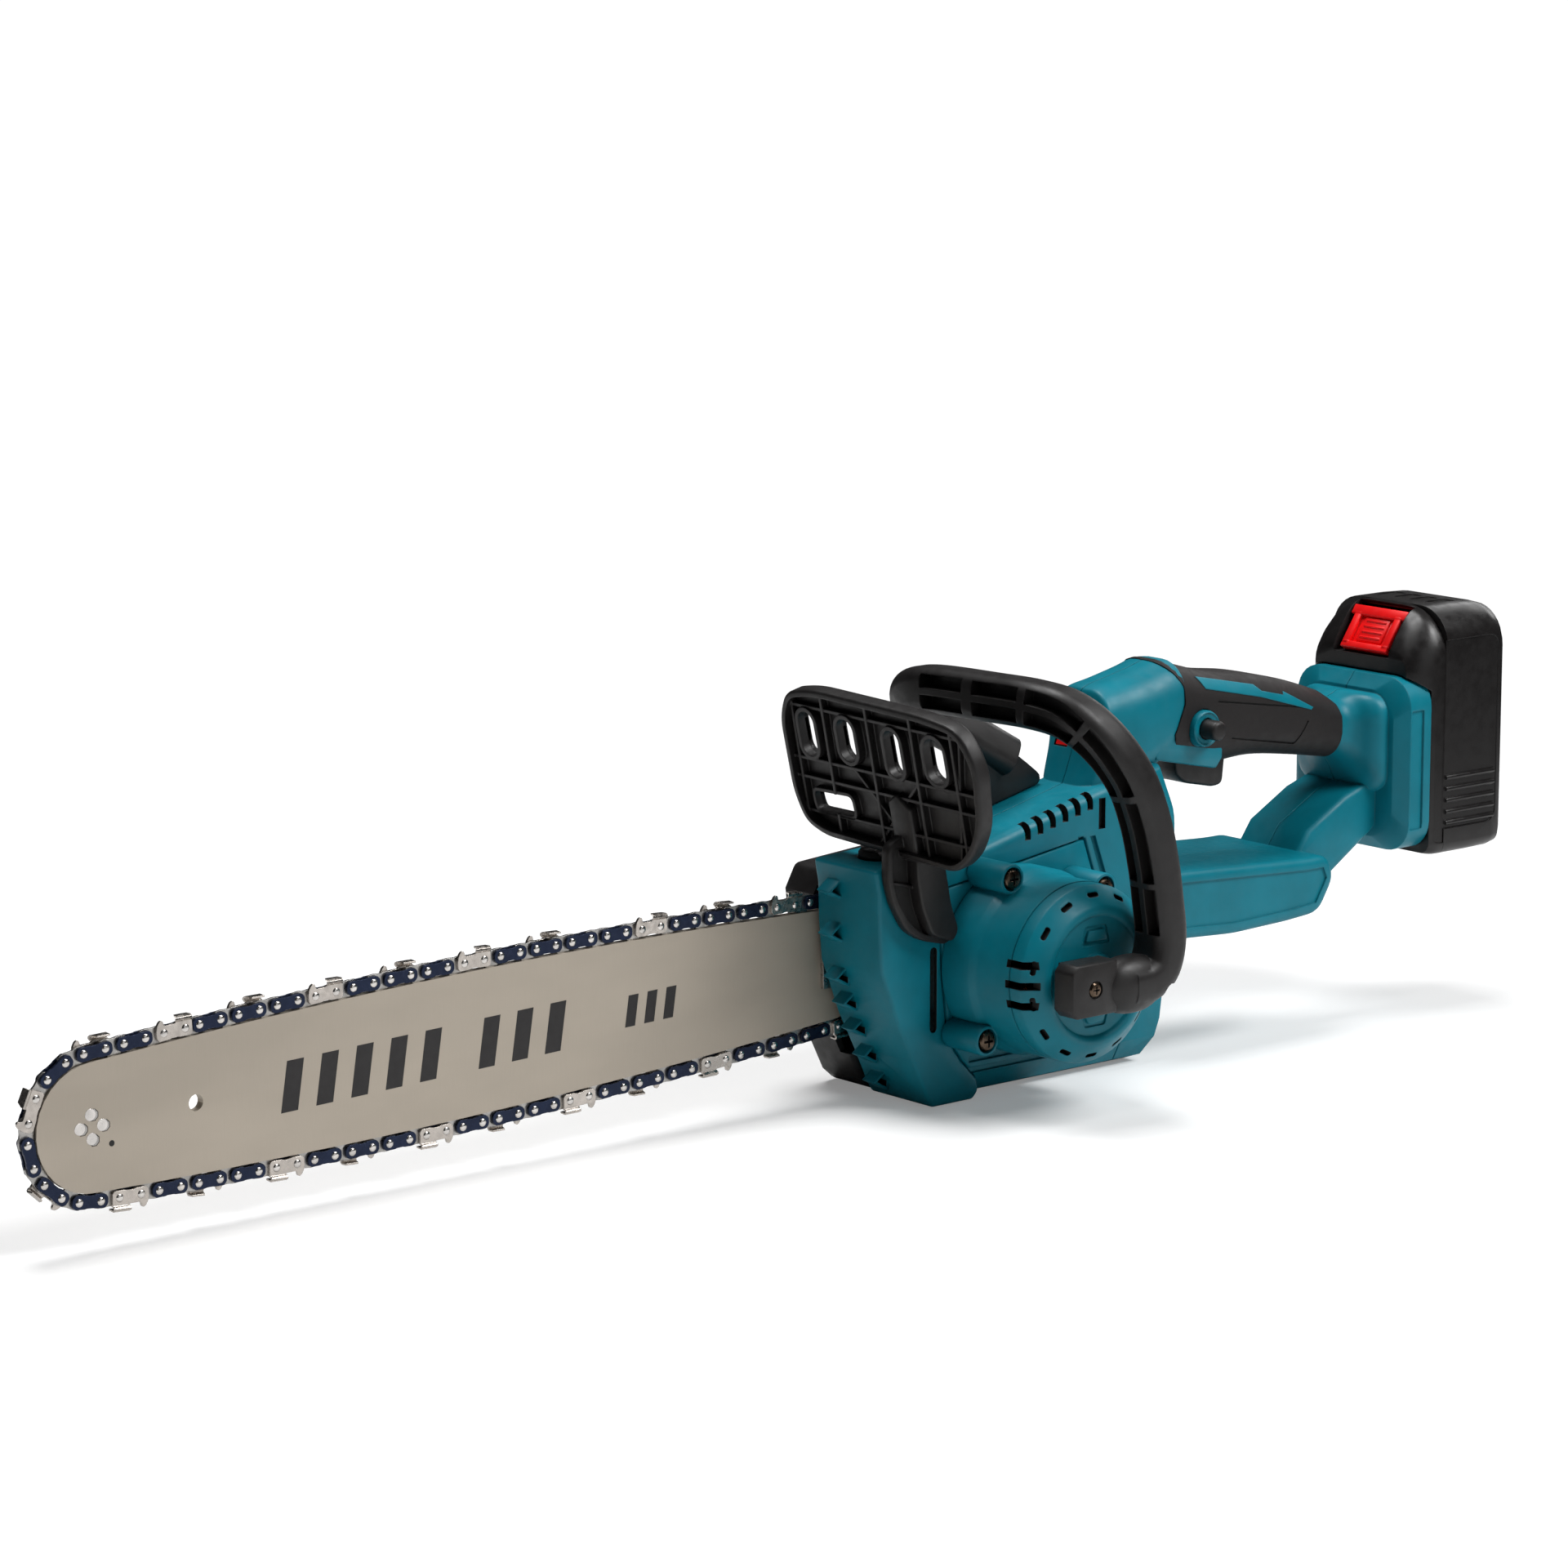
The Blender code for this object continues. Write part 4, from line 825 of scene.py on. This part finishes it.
def hand_guard():
    edge = rounded(GUARD_OUTLINE, 9, 6)
    low = rounded(GUARD_LOW_SLOT, 3, 4)
    slots = [guard_slab(stadium(y, h, w, tall, 10), (-12, 12)) for y, h, w, tall in GUARD_SLOTS]
    slots = joined(slots + [guard_slab(low, (-12, 12))])
    room = guard_slab(inset(edge, 2.6), (-11, 2.2))

    def trimmed(piece, inside=True):
        """The piece kept inside the panel's rim and out of its slots."""
        if inside:
            keep(piece, twin(room))
        return carve(piece, twin(slots))

    panel = soften(guard_slab(edge, (GUARD_FRONT, GUARD_BACK)), 1.4, 3, 60)
    carve(panel, guard_slab(inset(edge, 3.0), (-12, WEB_FRONT)))
    pieces = [trimmed(panel, False)]
    ribs = [((y + 2, -5), (y, 80), 0.7, -3.2) for y in (-94, -68.5, -40, -11, 9.5)]
    ribs += [((-115, h - 1), (25, h + 1.5), 0.7, -2.8) for h in (12, 28, 37, 62)]
    slants = (((-60, 0), (-25, 37)), ((-30, 0), (-66, 36)), ((-86, 0), (-98, 60)))
    ribs += [(a, b, 0.65, -2.2) for a, b in slants]
    for start, end, half_width, depth in ribs:
        pieces.append(trimmed(guard_slab(stroke(start, end, half_width), (depth, WEB_FRONT + 1))))
    for y, h, w, tall in GUARD_SLOTS:
        pieces.append(trimmed(guard_slab(stadium(y, h, w + 1.9, tall + 1.9, 10), (-3.8, 2))))
    pieces.append(trimmed(guard_slab(inset(low, -1.6), (-2.8, 2))))
    arm = [(377, 73), (377, 58), (380.5, 46), (388, 33.5), (397, 28), (412, 24.4), (416, 31), (411.5, 44),
           (408, 60), (404, 76), (394, 80)]
    plate_arm = soften(prism(rounded(arm, 4, 4), SIDE - 5.8, SIDE - 0.6, BLACK), 0.8, 2)
    hollow = [(379.5, 72), (379.5, 58), (383, 47), (390, 36.5), (398.5, 30.5), (409, 28.5), (400, 70)]
    # The arm's hollow wears the near-black painted shade.
    pieces.append(carve(plate_arm, prism(rounded(hollow, 3, 3), SIDE - 9, SIDE - 3.2)))
    bead = [(378, 56), (392, 52), (392, 53.4), (378, 57.4)]
    pieces.append(soften(prism(bead, SIDE - 5.6, SIDE - 3, BLACK), 0.3, 1))
    lobe = [(389, 76), (390, 58), (393, 44), (399, 31), (411, 26.5), (414.5, 31.5), (410, 43), (406.5, 60),
            (403, 76)]
    pieces.append(soften(prism(rounded(lobe, 3, 4), SIDE - 10.4, SIDE - 2, BLACK), 0.9, 3))
    web = guard_slab([(-60, -1), (-46, -1), (-46, 26), (-52, 30), (-60, 24)], (-4.0, 2.6))
    pieces.append(trimmed(soften(web, 1.0, 2), False))
    discard(slots, room)
    guard = smooth(joined(pieces), 50)
    finished(guard, "hand_guard_panel", "black_plastic", "hand_guard", body="hand_guard")


hand_guard()


# Casings
RIGHT_SIDE = design(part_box("gear_housing")[1]).y
UPPER_OUTLINE = [(413.7, 48.2), (499.8, 60.3), (516.9, 12), (524.8, FLOOR_Z), (540, FLOOR_Z), (548, -30),
                 (556, 30), (556, 70), (548, 88), (509, 81), (437, 64), (413.7, 62.5)]
RISER = [(506.8, 74, 4.5, 12, 4), (511, 79, 9.5, 16, 8), (516, 86.5, 17, 18, 10),
         (518.5, 94.5, 25.5, 18.8, 12), (522, 97, 27, 19.3, 14), (534, 100.8, 25.8, 20, 16),
         (550, 105.7, 24.5, 20.5, 17), (559, 109, 23.6, 20.5, 17), (565.6, 109.1, 23.2, 20.5, 16)]
CORE = [(560, 108, 20, 18, 12), (590, 103, 18.6, 17.5, 12), (616, 101.5, 16.2, 16.5, 11),
        (644, 96.5, 14.6, 15.5, 11), (668, 90.5, 13.0, 15.6, 10), (676, 88, 13.5, 16, 10),
        (681, 85.5, 17, 19, 11), (685, 82.5, 21.5, 24.5, 11), (689, 81, 23.2, 27.3, 10),
        (697, 80.5, 23.5, 27.8, 9)]
SLEEVE = [(552, 106.2, 24.7, 20.9, 17), (559, 108.9, 23.9, 21.1, 17), (566, 108.0, 22.9, 21.3, 16),
          (590, 103, 21.4, 20.7, 14), (616, 101.5, 19.2, 19.6, 13), (644, 96.5, 17.6, 18.6, 13),
          (674, 89, 14.9, 17.8, 12)]
SLEEVE_EDGE = [(550, 142), (555.8, 133.3), (561, 127.6), (564.4, 121.6), (564.5, 113.2), (558.7, 99.7),
               (561.7, 91.4), (590.5, 84.6), (594.4, 82), (600, 60), (668, 60), (670.2, 81), (671.2, 88),
               (671.1, 95), (669.3, 101), (663.7, 105.9), (640, 142)][::-1]
ACCENT = [(575.1, 124.5), (578.7, 118.7), (615, 110.9), (649.5, 101), (650.8, 102.1), (631.7, 111.6),
          (631.1, 110.1), (616.3, 113.6), (612.2, 116.9)]
GRIP_GROOVES = (((586, 112.2), (648, 102.2)), ((595.6, 94.1), (639.7, 86.1)), ((647.6, 96), (639.7, 86.1)))
REAR_GUARD = [(545, 8), (585, 5.5), (620, 6.5), (641, 8), (651, 24), (646, 35), (632, 35), (545, 40)]
STRUT = [(630, 20), (655, 16), (690, 38), (706, 50), (700, 66), (672, 57), (648, 44)]
LOCK_X, LOCK_Z = 576.0, 101.0
LENS_Y = -14.0
FOOT_HALF_W, FOOT_HALF_H, FOOT_Z = 37, 41.5, 70.5   # of the block that the battery slides onto
HALF_GAP = 0.12               # from the parting plane to each half
TRIGGER_SLOT = (rectangle(568.5, 66, 606, 96), 9.6)


def round_where(obj, chosen, width, segments=5):
    """Rounds the edges whose two ends the test chooses."""
    work = bmesh.new()
    work.from_mesh(obj.data)
    edges = [e for e in work.edges if chosen(*(design(v.co) for v in e.verts))]
    bmesh.ops.bevel(work, geom=edges, offset=width * MM, segments=segments, profile=0.5, affect="EDGES")
    work.to_mesh(obj.data)
    work.free()
    return smooth(obj, 50)


def underside_chamfer():
    section = [(SIDE - 2, FLOOR_Z - 2), (-30, FLOOR_Z - 2), (-32, FLOOR_Z), (-40, -47), (SIDE, -37.5),
               (SIDE - 2, -35)]
    return solid(*loft([[(x, y, z) for y, z in section] for x in (425, 570)]), TEAL)


def foot_shape(grow, front, back, edge, mat):
    """The rounded block that the battery slides onto, with its front edges chamfered."""
    rings = []
    for x, less in ((front, edge), (front + edge * 0.85, 0), (back, 0)):
        section = rounded_box(FOOT_HALF_W + grow - less, FOOT_HALF_H + grow - less, 14, 7)
        rings.append([(x, PARTING + a, FOOT_Z + b) for a, b in section])
    return solid(*loft(rings), mat)


def both_sides(outline, depth, half_w, mat):
    """Cutters that sink an outline into the two sides of something centred on the parting plane."""
    return [prism(outline, PARTING + side * (half_w - depth), PARTING + side * (half_w + 3), mat)
            for side in (-1, 1)]


def casings():
    casing = prism(UPPER_OUTLINE, SIDE, RIGHT_SIDE, TEAL)
    round_where(casing, lambda a, b: min(a.z, b.z) > 61 and abs(a.y - b.y) < 0.1, 4.5)
    soften(casing, 0.9, 2)
    guard = soften(centred(rounded(REAR_GUARD, 6, 4), 35, TEAL), 3.5, 4, 50)
    carve(guard, *both_sides(inset(REAR_GUARD, 5.5), 0.9, 35, TEAL))
    strut = soften(centred(STRUT, 20, TEAL), 2.5, 3, 40)
    strip = [(548, 89), (586.7, 80.7), (590.6, 85.5), (590.6, 95), (548, 102)]
    strip = soften(centred(strip, 19.5, TEAL), 1.2, 2)
    foot = foot_shape(0, 692, 711.3, 6.3, TEAL)
    carve(foot, *both_sides(rounded(rectangle(698.2, 40, 706.5, 97), 1, 2), 1.0, FOOT_HALF_W, TEAL))
    for shape in (along_x(RISER, TEAL), along_x(CORE, TEAL), foot, guard, strut, strip):
        add(casing, shape)
    ring = [(4, -45.6), (6.9, -45.6), (7.5, -46.1), (8.2, -45.6), (8.5, -44.6), (8.5, -36), (4, -36)]
    add(casing, turned(ring, TEAL, (LOCK_X, 0, LOCK_Z), "Y", 48))
    hollow = [(437, 60.7), (440, 54.5), (504, 63), (520, 14), (526, -34), (544, -34), (545, -30), (552, 40),
              (551, 84), (509, 77.6)]
    # The hollows, the battery foot's recess, the trigger slot, the lens pocket and the lock hole are cut with the
    # near-black painted shade on their faces.
    carve(casing, prism(hollow, SIDE + 3, RIGHT_SIDE - 3))
    for hidden in (along_x(RISER[1:-1], PAINTED_SHADE, 3.5), along_x(CORE[:5], PAINTED_SHADE, 2.6),
                   foot_shape(-3, 696, 708.3, 0, PAINTED_SHADE),
                   centred(inset(REAR_GUARD, 4), 31),
                   centred(*TRIGGER_SLOT), underside_chamfer(),
                   block((505, LENS_Y - 4.5, 96), (530, LENS_Y + 4.5, 100.5)),
                   centred(rectangle(706, 62, 716, 98), 13),
                   rod(5.0, -60, -30, LOCK_X, LOCK_Z, PAINTED_SHADE, 32)):
        carve(casing, hidden)
    # The vents and the slot behind the bumper wear the near-black painted shade; the two slanted grooves stay
    # teal.
    cutters = []
    for k in range(6):
        x = 464.6 + 7.6 * k
        top = 64 + (x - 437) * 17 / 72
        cutters.append(block((x - 1.7, SIDE - 2, top - 7), (x + 1.7, -40.5, top + 4)))
    cutters.append(block((508, SIDE - 2, 63), (512, SIDE + 2.5, 77)))
    for groove in ([(495.2, 61), (503.5, 35.5), (506.9, 35.5), (498.6, 61)],
                   [(502.7, 60.4), (512.8, 33), (516.2, 33), (505.9, 60.4)]):
        cutters.append(prism(groove, SIDE - 2, SIDE + 1.8, TEAL))
    carve(casing, *cutters)
    left, right = PARTING - HALF_GAP, PARTING + HALF_GAP
    for name, y0, y1 in (("housing_left", -120, left), ("housing_right", right, 60)):
        half = keep(twin(casing), block((400, y0, -60), (730, y1, 150), TEAL))
        finished(half, name + "_shell", "teal_plastic", name)
    discard(casing)


def grip():
    """The rubber sleeve with its grooves, its teal accents, the trigger and the lock-off button."""
    sleeve = along_x(SLEEVE, RUBBER)
    keep(sleeve, prism(SLEEVE_EDGE, -80, 40, RUBBER))
    # The grooves' faces wear the near-black painted shade.
    for a, b in GRIP_GROOVES:
        groove = prism(stroke(a, b, 0.45), -60, 20)
        carve(sleeve, carve(groove, along_x(SLEEVE, PAINTED_SHADE, 0.7)))
    carve(sleeve, along_x(CORE[:-4], RUBBER))
    carve(sleeve, rod(8.9, -60, -30, LOCK_X, LOCK_Z, RUBBER, 48))
    carve(sleeve, centred(*TRIGGER_SLOT, RUBBER))
    finished(sleeve, "grip_rubber_sleeve", "grip_rubber", "grip_sleeve")
    accent = prism(ACCENT, -60, 20, TEAL)
    keep(accent, along_x(SLEEVE, TEAL, -0.25))
    carve(accent, along_x(SLEEVE, TEAL, 1.0))
    finished(accent, "grip_accents", "teal_plastic")

    outline = [(569.5, 94.5), (571.5, 78), (577, 73.5), (596, 69.5), (601.5, 70.5), (604, 92.5),
               (598, 94.6)]
    trigger = soften(centred(rounded(outline, 3, 5), 9, BLACK), 1.6, 3, 50)
    # The spring pocket wears the near-black painted shade.
    spring_pocket = [(0, 87), (5.4, 87), (5.4, 100), (0, 100)]
    carve(trigger, turned(spring_pocket, PAINTED_SHADE, (594, PARTING, 0), "Z", 24))
    finished(trigger, "trigger_lever", "black_plastic", "trigger", body="trigger")
    profile = [(0, -54.5), (2.6, -54.5), (3.7, -54.2), (4.4, -53.4), (4.6, -52.4), (4.6, -35), (0, -35)]
    button = turned(profile, BLACK, (LOCK_X, 0, LOCK_Z), "Y", 40)
    finished(button, "lock_off_pin", "black_plastic", "lock_off_button", body="lock_off_button")


casings()
grip()


# Battery
BATTERY_LOW, BATTERY_HALF_W = 25.5, 37.5
HEAD = [(701.4, 122.0, 29.5, 9), (704.5, 127.4, 32.6, 14), (708.5, 133.4, 35.0, 19),
        (712.5, 138.6, 36.5, 23), (716.5, 142, 37.3, 25),
        (720.9, 143.4, 37.5, 26)]   # X, top, half width, radius of the top corners
BACK = [(721.1, 143.4, 37.5, 18), (740, 143.4, 37.5, 18), (754, 142.8, 37.3, 18), (760, 141.2, 36.4, 17),
        (763, 138, 34.2, 16), (764, 133, 30.5, 13)]


def pack_shape(stations, mat, shrink=0.0):
    """The battery's body: well rounded above and less so below."""
    rings = []
    for x, high, half_w, radius in stations:
        low, lower = BATTERY_LOW + (BATTERY_HALF_W - half_w), 5.5
        half_w, high, low, radius = half_w - shrink, high - shrink, low + shrink, radius - shrink
        corners = ((half_w - radius, high - radius, radius, 0), (radius - half_w, high - radius, radius, 90),
                   (lower - half_w, low + lower, lower, 180), (half_w - lower, low + lower, lower, 270))
        ring = [p for cy, cz, r, start in corners for p in arc(cy, cz, r, start, start + 90, 8)]
        rings.append([(x, PARTING + y, z) for y, z in ring])
    return solid(*loft(rings), mat, 50)


def battery():
    front = pack_shape([tuple(v) for v in spline(HEAD, 3)], BLACK_SMOOTH)
    carve(front, foot_shape(0.9, 660, 711.9, 0, BLACK_SMOOTH))
    below_button = [(694, 119.4), (724, 119.4), (724, 139), (708, 150)]
    # These cut-outs wear the near-black painted shade.
    for outline, half_w in ((rectangle(640, 0, 711.9, 96), 50), (rectangle(714.5, 40, 719, 109), 33.5),
                            (rectangle(708, 20, 719, 102), 15), (below_button, 18)):
        carve(front, centred(outline, half_w))
    panel = rounded(rectangle(713.2, 31.5, 730, 136), 6, 5)
    carve(front, *both_sides(panel, 0.5, BATTERY_HALF_W, BLACK_SMOOTH))
    finished(front, "battery_front", "black_plastic", "battery_case_front", body="battery")

    back = pack_shape(BACK, BLACK_SMOOTH)
    # The rear shell's hollow wears the near-black painted shade.
    carve(back, pack_shape([(715, *BACK[1][1:]), (760.5, *BACK[1][1:])], PAINTED_SHADE, 3))
    panel = rounded(rectangle(715, 38, 757.5, 128.5), 7, 6)
    carve(back, *both_sides(panel, 1.0, BATTERY_HALF_W, BLACK_SMOOTH))
    rib = [(0, 722), (1.1, 722.6), (1.3, 723.4), (1.3, 755.2), (1.1, 756), (0, 756.6)]
    ribs = [turned(rib, BLACK_SMOOTH, (0, PARTING + side * (BATTERY_HALF_W - 1.0), z), "X", 12)
            for side in (-1, 1) for z in (62.5, 57, 51.5, 46, 40.8)]
    for y in (-38, -27.5, -17, -6.5):
        carve(back, block((731, y - 3.6, 142.8), (745, y + 3.6, 146), BLACK_SMOOTH))
    back = smooth(joined([back] + ribs), 50)
    finished(back, "battery_back", "black_plastic", "battery_case_rear", body="battery")


def slope_point(along, depth):
    """X and Z of a point along the button's slope, and sunk into it."""
    a, b = Vector((702.2, 122.0)), Vector((715.2, 140.6))
    d = (b - a).normalized()
    p = a + d * along + Vector((d.y, -d.x)) * depth
    return p.x, p.y


def release_button():
    """A framed button with a recessed pad that carries four ribs, wider at its top."""
    def bar(y0, y1, s0, s1, d0, d1):
        corners = [slope_point(s, d) for s, d in ((s0, d0), (s0, d1), (s1, d1), (s1, d0))]
        return soften(prism(corners, y0, y1, RED), 0.5, 2)

    y, length = PARTING, 22.6
    pieces = [bar(y - 17.3, y + 17.3, 17.6, length, 0, 5), bar(y - 14.8, y + 14.8, 0, 3.4, 0, 5),
              bar(y - 14.8, y - 10.8, 1.5, 19, 0, 5), bar(y + 10.8, y + 14.8, 1.5, 19, 0, 5),
              bar(y - 11.5, y + 11.5, 2.5, 18.5, 2.2, 5.4), bar(y - 8, y + 8, 4.4, 17, 1.2, 3)]
    pieces += [bar(y - 6.5, y + 6.5, s, s + 1.2, 0.7, 2) for s in (6.0, 8.9, 11.8, 14.7)]
    button = smooth(joined(pieces), 50)
    finished(button, "release_frame", "red_plastic", "battery_release", body="battery_release")


battery()
release_button()


# Motor pod
SCREW_ANGLES, SCREW_CIRCLE = (117, 220, 297, 40), 46
END_SLOTS, END_SLOT_CIRCLE = 14, 35.9


def about_axle(points, degrees):
    """X and Z of points given outwards and across, turned round the motor's axle."""
    c, s = cos(radians(degrees)), sin(radians(degrees))
    return [(AXLE_X + p * c - q * s, AXLE_Z + p * s + q * c) for p, q in points]


def pod():
    centre = (AXLE_X, 0, AXLE_Z)
    shell = [(36, -46.6), (42, -46.6), (42, -63), (41.7, -64.2), (40.6, -67), (40.2, -68.2), (40.2, -88),
             (36, -88)]
    shell = turned(shell, TEAL, centre, "Y", 96)
    end = [(0, -103), (9.2, -103), (10, -102.3), (10.4, -100.6), (26.6, -100.6), (27.4, -101.9),
           (28.6, -102.6), (30.6, -102.6), (32.2, -101.6), (39.6, -95.4), (39.9, -94.6), (39.9, -88.4),
           (36.8, -88.4), (36.8, -94), (30, -98), (0, -98)]
    end = turned(end, TEAL, centre, "Y", 96)
    screws = [about_axle([(SCREW_CIRCLE, 0)], angle)[0] for angle in SCREW_ANGLES]
    for x, z in screws:
        add(shell, soften(rod(6.8, -69.5, -46.6, x, z, TEAL, 40), 0.8, 2))
        carve(shell, rod(5.4, -75, -66.5, x, z, TEAL, 40))
    # The pod's bore and the end cap's slots wear the near-black painted shade.
    carve(shell, rod(37.8, -95, -40, AXLE_X, AXLE_Z, PAINTED_SHADE, 96))
    slot = stadium(END_SLOT_CIRCLE, 0, 0.95, 3.2, 5)
    slots = [prism(about_axle(slot, 360 / END_SLOTS * (k + 0.5)), -110, -90) for k in range(END_SLOTS)]
    recess = rounded([(14, -8.5), (22.5, -6.1), (22.5, 6.1), (14, 8.5)], 1.2, 3)
    slots += [prism(about_axle(recess, angle), -110, -99.8, TEAL) for angle in (90, 270)]
    carve(end, *slots)
    pad = rounded([(15.8, -6.4), (20.8, -4.6), (20.8, 4.6), (15.8, 6.4)], 1, 3)
    for angle in (90, 270):
        add(end, soften(prism(about_axle(pad, angle), -101.2, -99, TEAL), 0.4, 2))
    # The vents wear the near-black painted shade.
    for z in (AXLE_Z - 9, AXLE_Z, AXLE_Z + 9):
        vent = rounded(rectangle(AXLE_X - 50, z - 1.7, AXLE_X - 20, z + 1.7), 0.8, 2)
        carve(shell, prism(vent, -98, -86))
        carve(end, block((AXLE_X - 50, -104, z - 1.7), (AXLE_X - 33, -80, z + 1.7)))
    finished(shell, "pod_shell", "teal_plastic", "motor_pod")
    finished(end, "pod_end", "teal_plastic", "pod_end_cap")
    for k, (x, z) in enumerate(screws, 1):
        head = pan_head((x, -67.0, z), 4.8, 3.6, BRONZE)
        finished(head, f"pod_screw_head_{k}", "bronze_screw", f"pod_screw_{k}")


pod()


# Nose, gear housing and sprocket cover
NOSE_FRONT = [(374.5, 61), (376.6, 50), (377, 33), (378.6, 15), (383, 4), (388.3, -10), (397, -27),
              (405.5, -45), (408.5, FLOOR_Z)]
NOSE_REAR = [(433, FLOOR_Z), (436.2, -46.5), (435.2, -41), (425.5, -31), (417.5, -20), (413.8, 12), (412, 41),
             (413, 63)]
SPIKE_Z = (49.5, 30, 10, -2, -14.5, -27.5, -40.5)
WINDOW = (408.6, 3.4)
CAP_X, CAP_Y = 396, -25       # of the oil cap's middle
COVER = [(386, 8), (394, -24), (404, -44), (411, FLOOR_Z), (505, FLOOR_Z), (514, -46), (528, -24), (530, 20),
         (520, 52), (500, 61), (388, 53), (382, 42)]


def nose_front_x(z):
    for (x0, z0), (x1, z1) in zip(NOSE_FRONT, NOSE_FRONT[1:]):
        if z1 <= z <= z0:
            return x0 + (x1 - x0) * (z - z0) / (z1 - z0)


def nose():
    bumper = soften(prism(NOSE_FRONT + NOSE_REAR, SIDE, RIGHT_SIDE, TEAL), 1.7, 4, 40)
    cavity = [(380, 58), (380.2, 33), (382, 16), (392, -9), (409, -44), (411.5, -47), (429, -47), (421, -31),
              (413.5, -20), (410, 12), (409, 41), (409, 58)]
    # The cavity's faces wear the near-black painted shade.
    carve(bumper, prism(cavity, SIDE + 3, 0))
    for z in SPIKE_Z:
        x = nose_front_x(z)
        outline = [(x + 1.4, z + 5), (x - 7, z - 1), (x + 1.4, z - 5.5)]
        spike = soften(prism(outline, -20.5, -12, TEAL), 0.4, 2)
        # Each spike's hollow wears the near-black painted shade.
        add(bumper, carve(spike, prism(inset(outline, 1.0), -22, -15)))
    # The oil cap's pocket and the window's slot wear the near-black painted shade.
    carve(bumper, turned([(0, 50), (10.4, 50), (10.4, 70), (0, 70)], PAINTED_SHADE, (CAP_X, CAP_Y, 0), "Z", 40))
    carve(bumper, prism(stadium(*WINDOW, 2.0, 19.3), SIDE - 1, SIDE + 8))
    finished(bumper, "bumper", "teal_plastic", "front_bumper")
    cap = [(0, 50), (7.5, 50), (7.5, 62.2), (9.6, 62.2), (10, 62.6), (10, 64.2), (9.2, 65.4), (8.6, 65.6),
           (0, 65.6)]
    cap = turned(cap, BLACK, (CAP_X, CAP_Y, 0), "Z", 48)
    for low, high in ((-8.0, -1.4), (1.4, 8.0)):
        carve(cap, block((CAP_X - 7, CAP_Y + low, 64), (CAP_X + 7, CAP_Y + high, 70), BLACK))
    finished(cap, "oil_cap_knob", "black_plastic", "oil_cap", body="oil_cap")


def gear_housing():
    front = [(x + 0.7, z) for x, z in NOSE_REAR[1:-1]]
    outline = [(436.9, FLOOR_Z)] + front + [(412.7, 47.3), (499, 59.4), (516, 12), (524, FLOOR_Z)]
    housing = soften(prism(outline[::-1], SIDE, RIGHT_SIDE, TEAL), 0.9, 2, 50)
    cavity = [(420, 44), (418, 12), (421.5, -20), (432, -34), (517, -34), (511, 12), (498, 55)]
    # The cavity, the pocket and the bores wear the near-black painted shade; the underside chamfer stays teal.
    for hidden in (prism(cavity, SIDE + 3, RIGHT_SIDE - 4.2), underside_chamfer(),
                   block((440, -36, -45), (500, RIGHT_SIDE - 4.2, -30)),
                   rod(36.5, SIDE - 5, -30, AXLE_X, AXLE_Z, PAINTED_SHADE, 64),
                   rod(6, -12, 0, AXLE_X, AXLE_Z, PAINTED_SHADE, 32)):
        carve(housing, hidden)
    grooves = [block((430, SIDE - 2, z - 1.3), (501, SIDE + 1.8, z + 1.3), TEAL)
               for z in (-26.5, -31.5, -36.5)]
    carve(housing, *grooves)
    finished(housing, "lower_body", "teal_plastic", "gear_housing")


def sprocket_cover():
    cover = soften(prism(COVER, -3.6, 25.2, BLACK), 2.6, 4, 40)
    for k in range(4):
        x = 446 + 19 * k
        mark = rounded([(x, -34), (x + 7, -34), (x + 14, 44), (x + 7, 44)], 2, 3)
        add(cover, soften(prism(mark, 20, 26, BLACK), 0.6, 2))
    # The cover's inside and its front cut-out wear the near-black painted shade.
    for tool in (prism(inset(COVER, 3), -5, 23), block((370, -5, -32), (402, 4.2, 46))):
        carve(cover, tool)
    add(cover, block((383.5, 2.4, 1), (427, 24, 20.5), BLACK))
    holes = [rod(4.3, -2, 30, *bar_point(u, 0), BLACK, 32) for u in (392.0, 416.0)]
    carve(cover, *holes)
    access = [(0, 376), (4.3, 376), (4.3, 394), (0, 394)]
    carve(cover, turned(access, BLACK, (0, 7, bar_point(387, 15)[1]), "X", 24))
    finished(cover, "cover", "black_plastic", "sprocket_cover")


nose()
gear_housing()
sprocket_cover()
